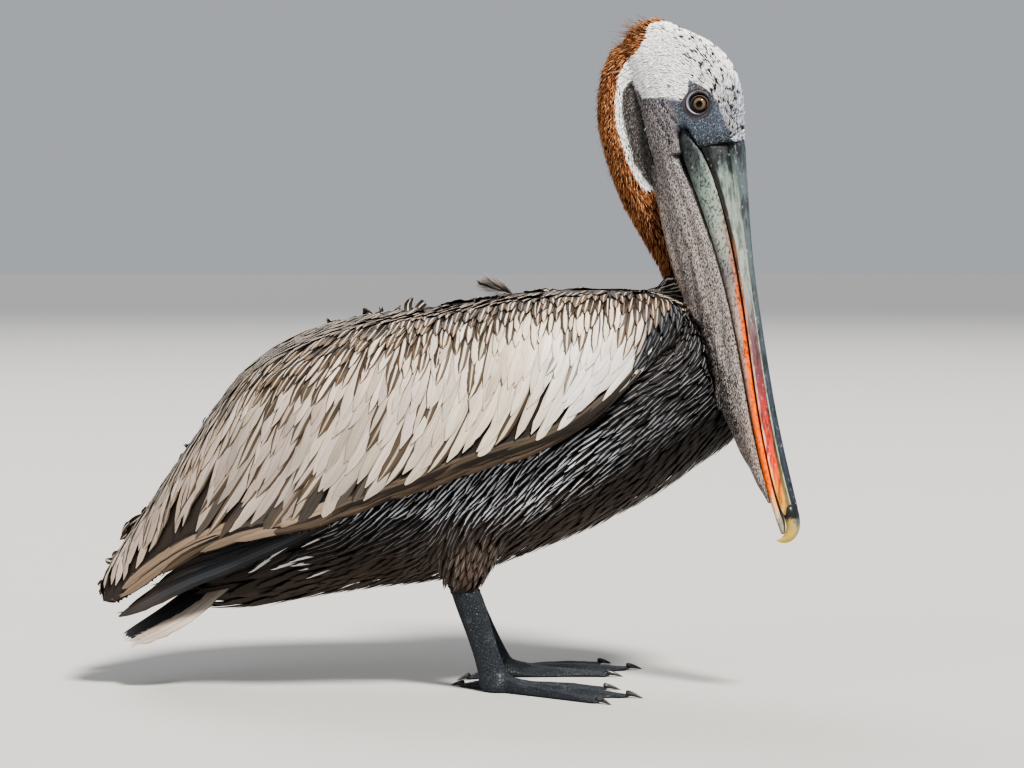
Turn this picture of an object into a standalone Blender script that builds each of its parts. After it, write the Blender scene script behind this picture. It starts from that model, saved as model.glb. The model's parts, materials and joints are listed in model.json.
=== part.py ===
"""Brown pelican, standing at rest: a life-size museum model.

Metres, +Z up. The bird looks along +X, its right side is toward -Y and it stands on z = 0.
Stations below are in millimetres; `mm` turns them into metres.
"""
import math

import bmesh
import bpy
import numpy as np
from mathutils import Matrix, Vector

# ---------------------------------------------------------------- driving sizes
mm = 0.001
gap = 0.0003                      # clearance between neighbouring pieces
cut_growth = 0.0006               # how far a cutter stands proud of the piece it copies

bill_root = Vector((0.215, -0.030, 0.4295))     # where the upper mandible leaves the face
bill_point = Vector((0.2735, -0.083, 0.1310))   # middle of the bill's far end
head_turn = math.radians(18.0)    # the face turned toward the bird's right

eye_along, eye_above, eye_aside = -33.0 * mm, -6.0 * mm, 19.5 * mm
eye_radius = 8.6 * mm

leg_spread = 0.045                # each leg from the middle plane
ankle = {"right": Vector((0.039, -leg_spread, 0.0)), "left": Vector((0.044, leg_spread, 0.0))}
heel_joint = {"right": Vector((0.011, -leg_spread, 0.086)), "left": Vector((0.003, leg_spread, 0.086))}
foot_turn = {"right": math.radians(-17.0), "left": math.radians(15.0)}
side_sign = {"right": -1.0, "left": 1.0}

# toes, outermost first: angle from the foot's own axis (+ is inward), length, ridge radius
toes = (
    (math.radians(-23.0), 104 * mm, 5.2 * mm),
    (math.radians(-2.0), 110 * mm, 5.6 * mm),
    (math.radians(21.0), 88 * mm, 5.2 * mm),
    (math.radians(156.0), 42 * mm, 4.4 * mm),
)
heel_radius = 13 * mm
web_thickness = 2.4 * mm
instep_height = 17 * mm
claw_length = 10 * mm

# trunk: x, bottom z, top z, half width
trunk_stations = (
    (247, 246, 258, 6),
    (242, 219, 283, 27),
    (226, 195, 300, 44),
    (198, 176, 311, 59),
    (165, 153, 315, 72),
    (118, 128, 314, 81),
    (60, 104, 309, 86),
    (5, 86, 297, 86),
    (-50, 79, 282, 80),
    (-100, 72, 258, 69),
    (-145, 64, 214, 55),
    (-180, 61, 163, 40),
    (-206, 64, 118, 23),
    (-218, 74, 92, 7),
)

# neck: x, y, z of the middle line, half width across, half depth fore and aft
neck_stations = (
    (205, 2, 262, 40, 44),
    (207, 6, 296, 33, 36),
    (197, 9, 331, 25, 26.5),
    (178, 9, 362, 22.5, 23.5),
    (160, 6, 392, 21.5, 23),
    (149, 4, 420, 21.5, 23),
    (142, 4, 448, 21.5, 23.5),
    (142, 4, 474, 21.5, 23),
    (148, 3, 497, 20, 21.5),
    (162, 1, 511, 12, 12),
)

# head: along the bill's line, lower edge, upper edge, half width
head_stations = (
    (0.5, -58, 18.5, 19.5),
    (-12, -60, 21, 22.5),
    (-26, -60, 23.5, 25.5),
    (-42, -59, 24.5, 27.5),
    (-58, -60, 22.5, 28),
    (-72, -62, 17, 27),
    (-86, -64, 6, 24),
    (-98, -62, -9, 19),
    (-107, -55, -21, 12.5),
    (-113, -42, -29, 5),
)

# bill pieces: along, lower edge, upper edge, half width
bill_upper_stations = (
    (0.8, -14.5, 18.5, 17.5),
    (22, -9.2, 15.2, 16.5),
    (45, -6.0, 12.4, 15.2),
    (85, -5.2, 6.4, 12.2),
    (125, -6.4, 3.4, 11.0),
    (165, -9.0, 1.4, 10.8),
    (205, -11.9, -0.6, 11.4),
    (245, -13.0, -0.6, 11.8),
    (275, -12.4, 0.4, 10.8),
    (296, -10.0, 1.0, 7.6),
)
bill_lower_stations = (
    (-15.5, -27.5, -23.0, 15),
    (-8, -30.2, -20.0, 19.5),
    (2, -30.4, -15.6, 19.0),
    (20, -27.6, -10.3, 18.0),
    (42, -24.3, -7.0, 16.4),
    (82, -19.4, -6.2, 13.4),
    (122, -18.0, -7.4, 12.2),
    (162, -17.4, -9.9, 12.0),
    (202, -18.6, -12.8, 12.4),
    (242, -19.2, -13.9, 12.0),
    (278, -18.4, -13.2, 9.6),
    (298, -16.8, -11.6, 6.0),
    (309, -15.6, -13.4, 2.2),
)
pouch_stations = (
    (1.2, -59, -31.0, 15.5),
    (22, -60.5, -28.2, 14.5),
    (45, -61, -25.0, 13.6),
    (80, -60, -20.2, 11.6),
    (120, -54.5, -18.8, 10.6),
    (160, -49.5, -18.2, 10.0),
    (200, -44.5, -19.4, 9.6),
    (235, -36.5, -19.8, 8.6),
    (265, -26.8, -19.4, 6.4),
    (284, -21.0, -18.8, 3.0),
)
# nail: along, above, half depth, half width
nail_stations = (
    (297.0, -4.4, 5.4, 7.2),
    (304, -5.0, 5.4, 6.4),
    (310, -7.8, 5.0, 5.2),
    (313.5, -12.5, 3.8, 3.8),
    (314, -17.6, 2.0, 2.2),
    (312.6, -20.6, 0.6, 0.8),
)

# folded wing: top x, top z, low x, low z, ridge y, widest y, thickness
wing_stations = (
    (186, 296, 182, 283, 62, 64, 3),
    (172, 312, 153, 250, 52, 79, 8),
    (142, 318, 120, 219, 38, 92, 12),
    (92, 318, 84, 195, 26, 102, 14),
    (40, 313.5, 42, 180, 16, 106, 15),
    (-14, 303, -8, 163, 6, 106, 15),
    (-68, 297, -58, 146, 1.5, 102, 15),
    (-118, 281, -110, 126, 0.8, 93, 14),
    (-164, 252, -158, 119, 0.8, 80, 12),
    (-205, 197, -203, 104, 1.5, 66, 10),
    (-243, 141, -240, 81, 3, 50, 8),
    (-265, 108, -262, 67, 7, 41, 6),
    (-277, 84, -275, 68, 15, 34, 4),
)
wing_widest = 0.62                # share of the wing's height where it is widest
wing_tuck = 6 * mm                # how far the lower edge draws in again

# primaries under the folded wing: x, low z, top z, y, half thickness
primary_stations = (
    (-96, 131, 140, 74, 2.4),
    (-120, 112, 136, 70, 3.4),
    (-160, 97, 128, 60, 3.8),
    (-205, 86, 112, 48, 3.4),
    (-236, 71, 90, 37, 2.8),
    (-253, 65, 78, 31, 2.0),
    (-262, 64.5, 71, 28, 1.0),
)

# tail: x, ridge z, edge drop, half width, half thickness
tail_stations = (
    (-158, 113, 15, 27, 4.8),
    (-180, 99, 23, 34, 4.6),
    (-205, 80, 27, 40, 4.0),
    (-232, 59, 21, 43, 3.2),
    (-252, 45.5, 13, 38, 2.4),
    (-263, 38.5, 6, 26, 1.8),
    (-268, 35.5, 2, 9, 1.2),
)

# thigh below the flank: z, half depth, half width
thigh_stations = ((152, 24, 17), (128, 27, 20), (104, 23, 18), (88, 17.5, 14), (79, 13, 10.5))
# bare shank: share of the way down, half depth, half width
shank_stations = ((0.0, 9.5, 6.5), (0.1, 12, 8), (0.22, 12.2, 8), (0.45, 11.2, 6.6),
                  (0.7, 11.0, 6.4), (0.86, 12.4, 7.6), (0.97, 14.5, 9.5))

colours = {
    "brown_plumage": ((0.075, 0.055, 0.042), 0.85),
    "chestnut_plush": ((0.17, 0.055, 0.022), 0.9),
    "white_plush": ((0.78, 0.77, 0.74), 0.9),
    "silver_coverts": ((0.42, 0.36, 0.31), 0.8),
    "slate_quills": ((0.045, 0.045, 0.05), 0.7),
    "horn_grey": ((0.36, 0.38, 0.34), 0.5),
    "horn_red": ((0.55, 0.2, 0.12), 0.5),
    "horn_yellow": ((0.62, 0.5, 0.2), 0.4),
    "pouch_skin": ((0.13, 0.115, 0.10), 0.6),
    "slate_skin": ((0.075, 0.09, 0.105), 0.55),
    "eye_gloss": ((0.3, 0.24, 0.17), 0.08),
    "claw_horn": ((0.04, 0.036, 0.034), 0.4),
}


# ---------------------------------------------------------------- helpers
def finish_of(name):
    """The Principled material of one surface, made once."""
    found = bpy.data.materials.get(name)
    if found:
        return found
    material = bpy.data.materials.new(name)
    material.use_nodes = True
    shader = material.node_tree.nodes["Principled BSDF"]
    colour, roughness = colours[name]
    shader.inputs["Base Color"].default_value = (*colour, 1.0)
    shader.inputs["Roughness"].default_value = roughness
    shader.inputs["Metallic"].default_value = 0.0
    material.diffuse_color = (*colour, 1.0)
    return material


def refine(stations, steps):
    """Rows between the given ones on a smooth curve, `steps` to each span."""
    rows = np.array(stations, dtype=float)
    padded = np.vstack([2 * rows[0] - rows[1], rows, 2 * rows[-1] - rows[-2]])
    out = []
    for i in range(1, len(rows)):
        p0, p1, p2, p3 = padded[i - 1:i + 3]
        for step in range(steps):
            t = step / steps
            out.append(0.5 * (2 * p1 + (p2 - p0) * t + (2 * p0 - 5 * p1 + 4 * p2 - p3) * t * t
                              + (3 * p1 - p0 - 3 * p2 + p3) * t ** 3))
    out.append(rows[-1])
    return np.array(out)


def oval(centre, across, up, half_across, half_up, sides, power=2.2, pinch=0.0):
    """A closed ring; `pinch` narrows its lower half."""
    ring = []
    for i in range(sides):
        angle = math.tau * i / sides
        c, s = math.cos(angle), math.sin(angle)
        a = math.copysign(abs(c) ** (2 / power), c)
        b = math.copysign(abs(s) ** (2 / power), s)
        width = half_across * (1.0 - pinch * max(0.0, -b) ** 0.8)
        ring.append(centre + across * (a * width) + up * (b * half_up))
    return ring


def loft(name, rings, finish):
    """One closed body through rings of equal size, with a flat face at each end."""
    mesh = bpy.data.meshes.new(name)
    bm = bmesh.new()
    rows = [[bm.verts.new(point) for point in ring] for ring in rings]
    count = len(rings[0])
    for lower, upper in zip(rows, rows[1:]):
        for i in range(count):
            j = (i + 1) % count
            bm.faces.new((lower[i], lower[j], upper[j], upper[i]))
    bm.faces.new(rows[0][::-1])
    bm.faces.new(rows[-1])
    bmesh.ops.recalc_face_normals(bm, faces=bm.faces)
    bm.to_mesh(mesh)
    bm.free()
    return place(name, mesh, finish)


def place(name, mesh, finish):
    piece = bpy.data.objects.new(name, mesh)
    bpy.context.collection.objects.link(piece)
    mesh.materials.append(finish_of(finish))
    mesh.shade_smooth()
    mesh.set_sharp_from_angle(angle=math.radians(50))
    return piece


def cutter_of(piece):
    """A copy of a piece, grown by the clearance, that only cuts."""
    cutter = bpy.data.objects.new(piece.name + "_cutter", piece.data)
    bpy.context.collection.objects.link(cutter)
    grow = cutter.modifiers.new("grow", "DISPLACE")
    grow.strength = cut_growth
    grow.mid_level = 0.0
    cutter.hide_render = True
    cutter.display_type = "WIRE"
    return cutter


def carve(piece, *others):
    """Take other pieces' space out of this one."""
    for other in others:
        name = other.name + "_cutter"
        cutter = bpy.data.objects.get(name) or cutter_of(other)
        cut = piece.modifiers.new("clear_" + other.name, "BOOLEAN")
        cut.operation = "DIFFERENCE"
        cut.solver = "EXACT"
        cut.object = cutter


# ---------------------------------------------------------------- the face's own frame
bill_line = (bill_point - bill_root).normalized()
level_forward = (Vector((1, 0, 0)) - bill_line * bill_line.x).normalized()
face_up = Matrix.Rotation(head_turn, 3, bill_line) @ level_forward
face_right = bill_line.cross(face_up)


def face(along, above, aside):
    """A place on the head, from distances along the bill, toward the forehead and to the right."""
    return bill_root + bill_line * along + face_up * above + face_right * aside


def face_loft(name, stations, finish, steps, sides, power=2.2, pinch=0.0):
    rings = []
    for along, low, high, half in refine(stations, steps) * mm:
        centre = face(along, (low + high) / 2, 0)
        rings.append(oval(centre, face_right, face_up, half, (high - low) / 2, sides, power, pinch))
    return loft(name, rings, finish)


# ---------------------------------------------------------------- body
def build_trunk():
    rings = []
    for x, low, high, half in refine(trunk_stations, 2) * mm:
        centre = Vector((x, 0, (low + high) / 2))
        rings.append(oval(centre, Vector((0, 1, 0)), Vector((0, 0, 1)), half, (high - low) / 2, 18))
    return loft("trunk", rings, "brown_plumage")


def build_neck():
    rows = refine(neck_stations, 2) * mm
    points = [Vector(row[:3]) for row in rows]
    rings = []
    for i, row in enumerate(rows):
        ahead = points[min(i + 1, len(points) - 1)] - points[max(i - 1, 0)]
        fore = Vector((0, 1, 0)).cross(ahead).normalized()
        across = ahead.cross(fore).normalized()
        rings.append(oval(points[i], across, fore, row[3], row[4], 14))
    return loft("neck", rings, "chestnut_plush")


def build_tail():
    """A shallow roof of quills: the middle is high and the edges hang lower."""
    sides = 8
    rings = []
    for x, ridge, drop, half, thick in refine(tail_stations, 2) * mm:
        top, under = [], []
        for i in range(sides + 1):
            share = 2 * i / sides - 1
            z = ridge - drop * abs(share) ** 1.6
            edge = math.sqrt(max(0.0, 1 - share ** 2)) * 0.8 + 0.2
            top.append(Vector((x, share * half, z)))
            under.append(Vector((x, share * half * 0.96, z - 2 * thick * edge)))
        rings.append(top + under[::-1])
    return loft("tail", rings, "slate_quills")


# ---------------------------------------------------------------- wings
def wing_section(row, sign):
    """A crescent from the ridge over the back down to the wing's lower edge."""
    top_x, top_z, low_x, low_z, ridge, widest, thick = row
    outer = []
    count = 8
    for i in range(count + 1):
        t = (i / count) ** 1.35
        if t < wing_widest:
            lift = (1 - (1 - t / wing_widest) ** 2.3) ** (1 / 2.3)
            y = ridge + (widest - ridge) * lift
        else:
            y = widest - wing_tuck * ((t - wing_widest) / (1 - wing_widest)) ** 2 * widest / 0.106
        outer.append(Vector((top_x + (low_x - top_x) * t, y, top_z + (low_z - top_z) * t)))
    inner = []
    for i in range(1, count):
        run = outer[i + 1] - outer[i - 1]
        inward = Vector((0, run.z, -run.y)).normalized()
        edge = math.sin(math.pi * (i / count) ** 0.8) ** 0.5
        inner.append(outer[i] + inward * thick * max(0.3, edge))
    for point in inner:
        point.y = max(point.y, 0.7 * mm)
    ring = outer + inner[::-1]
    return [Vector((p.x, p.y * sign, p.z)) for p in ring]


def build_wing(side):
    rings = [wing_section(row, side_sign[side]) for row in refine(wing_stations, 2) * mm]
    return loft("wing_" + side, rings, "silver_coverts")


def build_primaries(side):
    rings = []
    for x, low, high, y, thick in refine(primary_stations, 2) * mm:
        centre = Vector((x, y * side_sign[side], (low + high) / 2))
        rings.append(oval(centre, Vector((0, 1, 0)), Vector((0, 0, 1)), thick, (high - low) / 2, 8))
    return loft("primaries_" + side, rings, "slate_quills")


# ---------------------------------------------------------------- head and bill
def build_eye(side):
    mesh = bpy.data.meshes.new("eye_" + side)
    bm = bmesh.new()
    bmesh.ops.create_uvsphere(bm, u_segments=12, v_segments=8, radius=eye_radius)
    centre = face(eye_along, eye_above, -side_sign[side] * eye_aside)
    turn = face_right.to_track_quat("Z", "Y").to_matrix().to_4x4()
    bm.transform(Matrix.Translation(centre) @ turn)
    bm.to_mesh(mesh)
    bm.free()
    return place("eye_" + side, mesh, "eye_gloss")


def build_nail():
    rows = refine(nail_stations, 2) * mm
    middles = [face(row[0], row[1], 0) for row in rows]
    rings = []
    for i, row in enumerate(rows):
        ahead = middles[min(i + 1, len(rows) - 1)] - middles[max(i - 1, 0)]
        above = face_right.cross(ahead).normalized() * -1
        rings.append(oval(middles[i], face_right, above, row[3], row[2], 10))
    return loft("bill_nail", rings, "horn_yellow")


# ---------------------------------------------------------------- legs
def build_thigh(side):
    high = heel_joint[side]
    rings = []
    for z, depth, width in refine(thigh_stations, 2) * mm:
        centre = Vector((high.x + 0.25 * (z - high.z), high.y, z))
        rings.append(oval(centre, Vector((0, 1, 0)), Vector((1, 0, 0)), width, depth, 12))
    return loft("thigh_" + side, rings, "brown_plumage")


def build_shank(side):
    high, low = heel_joint[side], ankle[side]
    rings = []
    for share, depth, width in refine(shank_stations, 2):
        centre = high.lerp(low, share)
        rings.append(oval(centre, Vector((0, 1, 0)), Vector((1, 0, 0)), width * mm, depth * mm, 12))
    return loft("leg_" + side, rings, "slate_skin")


def foot_reach(angle):
    """Distance from the ankle to the foot's edge: toes with webs slung between them."""
    reach = heel_radius
    bounds = list(toes)
    for (a0, l0, _), (a1, l1, _) in zip(bounds, bounds[1:]):
        if a0 <= angle <= a1:
            share = (angle - a0) / (a1 - a0)
            span = abs(a1 - a0)
            straight = l0 * l1 * math.sin(span) / (l0 * math.sin(angle - a0) + l1 * math.sin(a1 - angle))
            sag = 1 - (0.13 + 0.16 * min(1.0, span / 1.9)) * math.sin(math.pi * share) ** 0.8
            reach = max(reach, straight * sag)
    for toe_angle, length, radius in bounds:
        off = math.remainder(angle - toe_angle, math.tau)
        side_step = radius / length
        if abs(off) < 3 * side_step:
            blunt = length * (1 - 0.05 * (off / side_step) ** 2)
            reach = max(reach, min(blunt, radius / max(abs(math.sin(off)), 1e-6)))
    return reach


def foot_height(point):
    """Top of the foot over a place in its own plane, x along the foot and y inward."""
    height = web_thickness
    for angle, length, radius in toes:
        heading = Vector((math.cos(angle), math.sin(angle)))
        along = point.dot(heading)
        off = abs(point.x * heading.y - point.y * heading.x)
        if along > 0 or point.length < radius:
            taper = 1 - 0.42 * min(1.0, max(0.0, along / length))
            knuckle = 1 + 0.08 * math.cos(math.tau * 3.0 * along / length)
            crest = 2 * radius * 0.82 * taper * knuckle
            height = max(height, crest * math.sqrt(max(0.0, 1 - (off / (radius * 1.25)) ** 2)))
    instep = instep_height * math.exp(-(point.length / (17 * mm)) ** 2)
    return max(height, instep)


def foot_angles():
    """Angles round the foot, closer together beside each toe."""
    angles = set()
    for toe_angle, length, radius in toes:
        step = radius / length
        for k in (-2.2, -1.0, 0.0, 1.0, 2.2):
            angles.add(round(toe_angle + k * step, 5))
    bounds = [toe[0] for toe in toes]
    for a0, a1 in zip(bounds, bounds[1:]):
        for k in range(1, 5):
            angles.add(round(a0 + (a1 - a0) * k / 5, 5))
    last, first = bounds[-1], bounds[0] + math.tau
    for k in range(1, 6):
        angles.add(round(last + (first - last) * k / 6, 5))
    ordered = sorted(angles)
    kept = [ordered[0]]
    for angle in ordered[1:]:
        if angle - kept[-1] > 0.02:
            kept.append(angle)
    return kept


def build_foot(side):
    base = ankle[side]
    shares = (0.15, 0.34, 0.64, 1.0)
    angles = foot_angles()
    turn = foot_turn[side]
    sign = side_sign[side]

    def world(radius, angle, height):
        local = Vector((math.cos(angle) * radius, math.sin(angle) * radius))
        x = local.x * math.cos(turn) + local.y * sign * math.sin(turn)
        y = local.x * math.sin(turn) - local.y * sign * math.cos(turn)
        return Vector((base.x + x, base.y + y, height))

    bm = bmesh.new()
    rows = []
    for share in shares:
        row = []
        for angle in angles:
            radius = foot_reach(math.remainder(angle, math.tau)) * share
            local = Vector((math.cos(angle) * radius, math.sin(angle) * radius))
            height = foot_height(local)
            if share == 1.0:
                height *= 0.55
            row.append(bm.verts.new(world(radius, angle, height)))
        rows.append(row)
    sole = []
    for angle in angles:
        radius = foot_reach(math.remainder(angle, math.tau)) * 0.985
        sole.append(bm.verts.new(world(radius, angle, 0.0)))
    rows.append(sole)
    count = len(angles)
    for inner, outer in zip(rows, rows[1:]):
        for i in range(count):
            j = (i + 1) % count
            bm.faces.new((inner[i], inner[j], outer[j], outer[i]))
    middle = bm.verts.new(world(0, 0, foot_height(Vector((0, 0)))))
    for i in range(count):
        bm.faces.new((middle, rows[0][(i + 1) % count], rows[0][i]))
    bm.faces.new(sole)
    bmesh.ops.recalc_face_normals(bm, faces=bm.faces)
    mesh = bpy.data.meshes.new("foot_" + side)
    bm.to_mesh(mesh)
    bm.free()
    return place("foot_" + side, mesh, "slate_skin")


def build_claw(side, number, toe):
    """A small hooked nail past the end of one toe, clear of the floor."""
    angle, length, radius = toe
    turn, sign = foot_turn[side], side_sign[side]
    heading = Vector((math.cos(turn + -sign * angle), math.sin(turn + -sign * angle), 0))
    across = Vector((-heading.y, heading.x, 0))
    start = ankle[side] + heading * (length + gap)
    rings = []
    steps = 4
    for i in range(steps + 1):
        t = i / steps
        thick = radius * 0.42 * (1 - t) ** 0.7 + 0.3 * mm
        rise = 3.4 * mm - 2.4 * mm * t ** 2
        centre = start + heading * (claw_length * t) + Vector((0, 0, rise))
        rings.append(oval(centre, across, Vector((0, 0, 1)), thick, thick * 1.05, 6, 2.0))
    return loft(f"claw_{side}_{number}", rings, "claw_horn")


# ---------------------------------------------------------------- assembly
def build():
    trunk = build_trunk()
    neck = build_neck()
    tail = build_tail()
    head = face_loft("head", head_stations, "white_plush", 2, 20)
    bill_upper = face_loft("bill_upper", bill_upper_stations, "horn_grey", 2, 12, 2.4)
    bill_lower = face_loft("bill_lower", bill_lower_stations, "horn_red", 1, 12, 2.8)
    pouch = face_loft("pouch", pouch_stations, "pouch_skin", 1, 12, 2.2, 0.6)
    nail = build_nail()
    carve(bill_lower, bill_upper)
    carve(bill_upper, nail)
    carve(pouch, bill_lower, head)
    carve(neck, trunk, head, pouch)
    carve(trunk, pouch, bill_lower, bill_upper, tail)
    carve(head, bill_lower, bill_upper)
    for side in ("right", "left"):
        eye = build_eye(side)
        carve(head, eye)
        wing = build_wing(side)
        primaries = build_primaries(side)
        thigh = build_thigh(side)
        shank = build_shank(side)
        foot = build_foot(side)
        carve(wing, trunk, neck, tail)
        carve(primaries, wing, tail, trunk)
        carve(thigh, trunk, wing)
        carve(shank, thigh, trunk)
        carve(foot, shank)
        for number, toe in enumerate(toes, 1):
            carve(build_claw(side, number, toe), foot)


for old in list(bpy.data.objects):
    bpy.data.objects.remove(old)
build()
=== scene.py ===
import json
import math
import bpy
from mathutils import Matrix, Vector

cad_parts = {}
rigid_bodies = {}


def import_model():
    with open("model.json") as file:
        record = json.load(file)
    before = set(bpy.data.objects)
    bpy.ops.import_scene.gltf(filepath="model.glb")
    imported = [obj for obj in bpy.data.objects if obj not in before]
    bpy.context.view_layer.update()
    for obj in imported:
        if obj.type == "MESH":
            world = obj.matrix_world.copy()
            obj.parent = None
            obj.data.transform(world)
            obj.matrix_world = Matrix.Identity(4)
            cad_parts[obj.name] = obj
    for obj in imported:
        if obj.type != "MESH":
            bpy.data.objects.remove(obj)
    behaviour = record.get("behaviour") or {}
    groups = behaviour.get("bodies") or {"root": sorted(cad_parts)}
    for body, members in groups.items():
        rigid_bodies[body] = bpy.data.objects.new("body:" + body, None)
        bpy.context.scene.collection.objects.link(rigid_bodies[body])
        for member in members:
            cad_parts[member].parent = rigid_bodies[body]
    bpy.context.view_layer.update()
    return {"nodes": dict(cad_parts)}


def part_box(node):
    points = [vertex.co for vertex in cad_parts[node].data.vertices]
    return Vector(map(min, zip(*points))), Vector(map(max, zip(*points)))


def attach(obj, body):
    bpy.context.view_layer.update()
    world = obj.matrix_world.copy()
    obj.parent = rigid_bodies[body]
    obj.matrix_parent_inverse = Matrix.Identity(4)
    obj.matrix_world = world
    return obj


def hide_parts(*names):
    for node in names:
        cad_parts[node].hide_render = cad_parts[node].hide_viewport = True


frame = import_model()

from types import SimpleNamespace

import bpy
import numpy as np
from mathutils import Matrix, Vector
from mathutils.bvhtree import BVHTree

# brown pelican: one skin, horn bill, glass eyes, claws, and a coat of solid feathers
# metres, Z up, the bird looks along +X and its right side is toward -Y
mm = 0.001
dice = np.random.default_rng(7)      # every random choice comes from here
sides = {"right": -1.0, "left": 1.0}


# small helpers
def deselect():
    if bpy.context.object and bpy.context.object.mode != "OBJECT":
        toMode("OBJECT")
    bpy.ops.object.select_all(action="DESELECT")


def toMode(mode):
    bpy.ops.object.mode_set(mode=mode)


def pick(piece):
    deselect()
    piece.select_set(True)
    bpy.context.view_layer.objects.active = piece


def useModifier(piece, kind, **values):
    pick(piece)
    modifier = piece.modifiers.new(kind.title(), kind)
    for key, value in values.items():
        setattr(modifier, key, value)
    bpy.ops.object.modifier_apply(modifier=modifier.name)


def placesOf(mesh, kind="co"):
    found = np.empty(len(mesh.vertices) * 3)
    mesh.vertices.foreach_get(kind, found)
    return found.reshape(-1, 3)


def setPlaces(mesh, places):
    mesh.vertices.foreach_set("co", places.ravel())
    mesh.update()


def stack(*values):
    return np.stack(values, axis=-1)


def unit(vectors):
    return vectors / np.maximum(np.linalg.norm(vectors, axis=-1, keepdims=True), 1e-9)


def ease(low, high, value):
    share = np.clip((value - low) / (high - low), 0.0, 1.0)
    return share * share * (3 - 2 * share)


def bump(value, middle, width):       # 1 at the middle, falling off to both sides
    return np.exp(-((value - middle) / width) ** 2)


def readTable(rows, value):           # a table's other columns, each at a place in its first
    table = np.array(rows, dtype=float)
    table = table[table[:, 0].argsort()]
    return [np.interp(value, table[:, 0], column) for column in table.T[1:]]


def pointwise(pairs, value):
    return readTable(pairs, value)[0]


def oneOf(nodes, *starts):
    return np.any([np.char.startswith(nodes, start) for start in starts], axis=0)


def mixAll(tint, *layers):            # pairs of a colour and its share, laid on one after another
    for colour, share in layers:
        tint = mix(tint, colour, share)
    return tint


def colourAttribute(mesh, name, colours):
    rgba = np.ones((len(colours), 4))
    rgba[:, :3] = colours
    layer = mesh.attributes.new(name, "FLOAT_COLOR", "POINT")
    layer.data.foreach_set("color", rgba.ravel())


# the face's own frame: along the bill, above it, and to the bird's right
face = {
    "root": Vector((0.215, -0.03, 0.4295)),
    "point": Vector((0.2735, -0.083, 0.131)),
    "turn": math.radians(18.0),
    "eye": (-33.0, -6.0, 19.5),      # mm along, above, aside
    "eyeRadius": 8.6,
}
billLine = (face["point"] - face["root"]).normalized()
upward = (Vector((1, 0, 0)) - billLine * billLine.x).normalized()
faceUp = Matrix.Rotation(face["turn"], 3, billLine) @ upward
faceRight = billLine.cross(faceUp)
faceAxes = np.array([billLine, faceUp, faceRight])


def facePlace(along, above, aside):
    return face["root"] + (billLine * along + faceUp * above + faceRight * aside) * mm


def faceSizes(places):
    return (places - np.array(face["root"])) @ faceAxes.T / mm


# where one marking of the head ends and the next begins, as (along, above) in mm
markings = {
    "nape": ((-108.5, -35), (-96, -38), (-88.5, -45), (-83, -58), (-73, -66.5), (-54, -74), (-38.5, -77),
             (-22, -77), (-5, -76), (12, -72), (30, -65), (46.5, -58)),
    "velvetRear": ((-67, -57), (-63, -62), (-60, -65.5), (-45, -70), (-20, -70.5), (-4, -70), (12, -65),
                   (27, -55.5)),
    "velvetFront": ((-66, -57), (-45, -55), (-33, -55), (-16, -54.5), (0, -54), (26.5, -56)),
}
browAlong = ((-60, -62), (-53, -56), (-51, -50), (-30, -43.5), (-19, -38), (-12, -44), (-9.5, -53), (-6, -50),
             (-1, -46), (7, -37), (9, -26), (11, -8), (12.5, 4))


def headZones(places):
    along, above = faceSizes(places).T[:2]
    bareFrom = pointwise(browAlong, above)
    bare = ease(-1.2, 1.2, along - bareFrom) * ease(12.5, 11.0, above)
    bare *= ease(-0.8, 0.8, above - pointwise(markings["velvetFront"], along))
    rear = pointwise(markings["velvetRear"], along)
    front = pointwise(markings["velvetFront"], along)
    velvet = ease(-0.8, 0.8, above - rear) * ease(0.8, -0.8, above - front)
    velvet *= ease(-67.5, -65, along) * ease(29, 26, along)
    chestnut = above < pointwise(markings["nape"], along)
    chestnut |= (along > 47) | (along < -109)
    return bare, velvet, chestnut


tints = {                             # linear colours of skin and coat
    "chestnut": (0.3, 0.1, 0.035), "rust": (0.66, 0.38, 0.2), "umber": (0.07, 0.022, 0.01),
    "white": (0.93, 0.93, 0.92), "speck": (0.03, 0.026, 0.024), "blueGrey": (0.27, 0.32, 0.4),
    "velvet": (0.075, 0.068, 0.064), "face": (0.066, 0.08, 0.108), "orbit": (0.078, 0.058, 0.062),
    "throat": (0.175, 0.162, 0.168),
    "pouch": (0.22, 0.19, 0.177), "pouchRear": (0.33, 0.255, 0.215), "fold": (0.04, 0.03, 0.028),
    "leg": (0.026, 0.032, 0.04), "lilac": (0.15, 0.14, 0.185),
    "darkBrown": (0.03, 0.021, 0.016), "breast": (0.011, 0.008, 0.007), "belly": (0.078, 0.053, 0.04),
    "silver": (0.44, 0.46, 0.5), "cream": (0.68, 0.6, 0.5), "pale": (0.5, 0.43, 0.375),
    "tan": (0.22, 0.145, 0.088), "slate": (0.05, 0.053, 0.06), "blueBlack": (0.02, 0.024, 0.034),
    "worn": (0.4, 0.3, 0.22), "olive": (0.115, 0.088, 0.06),
}
tints = SimpleNamespace(**{name: np.array(value) for name, value in tints.items()})


def mix(first, second, share):
    return first + (second - first) * np.asarray(share)[..., None]


def bodyTint(places):
    high = ease(0.235, 0.29, places[:, 2]) * ease(0.175, 0.13, places[:, 0])
    low = ease(0.165, 0.1, places[:, 2] - 0.25 * (places[:, 0] - 0.05))
    tint = mix(tints.breast, tints.belly, low)
    return mix(tint, tints.darkBrown, high)


def headShares(places, nodes):        # the zones, with the neck kept feathered all round
    bare, velvet, chestnut = headZones(places)
    along, above = faceSizes(places).T[:2]
    onNeck = (nodes == "neck") & ((along > 2) | (above < -58))
    return np.where(onNeck, 0, bare), velvet, chestnut | (onNeck & (along > 20))


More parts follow.
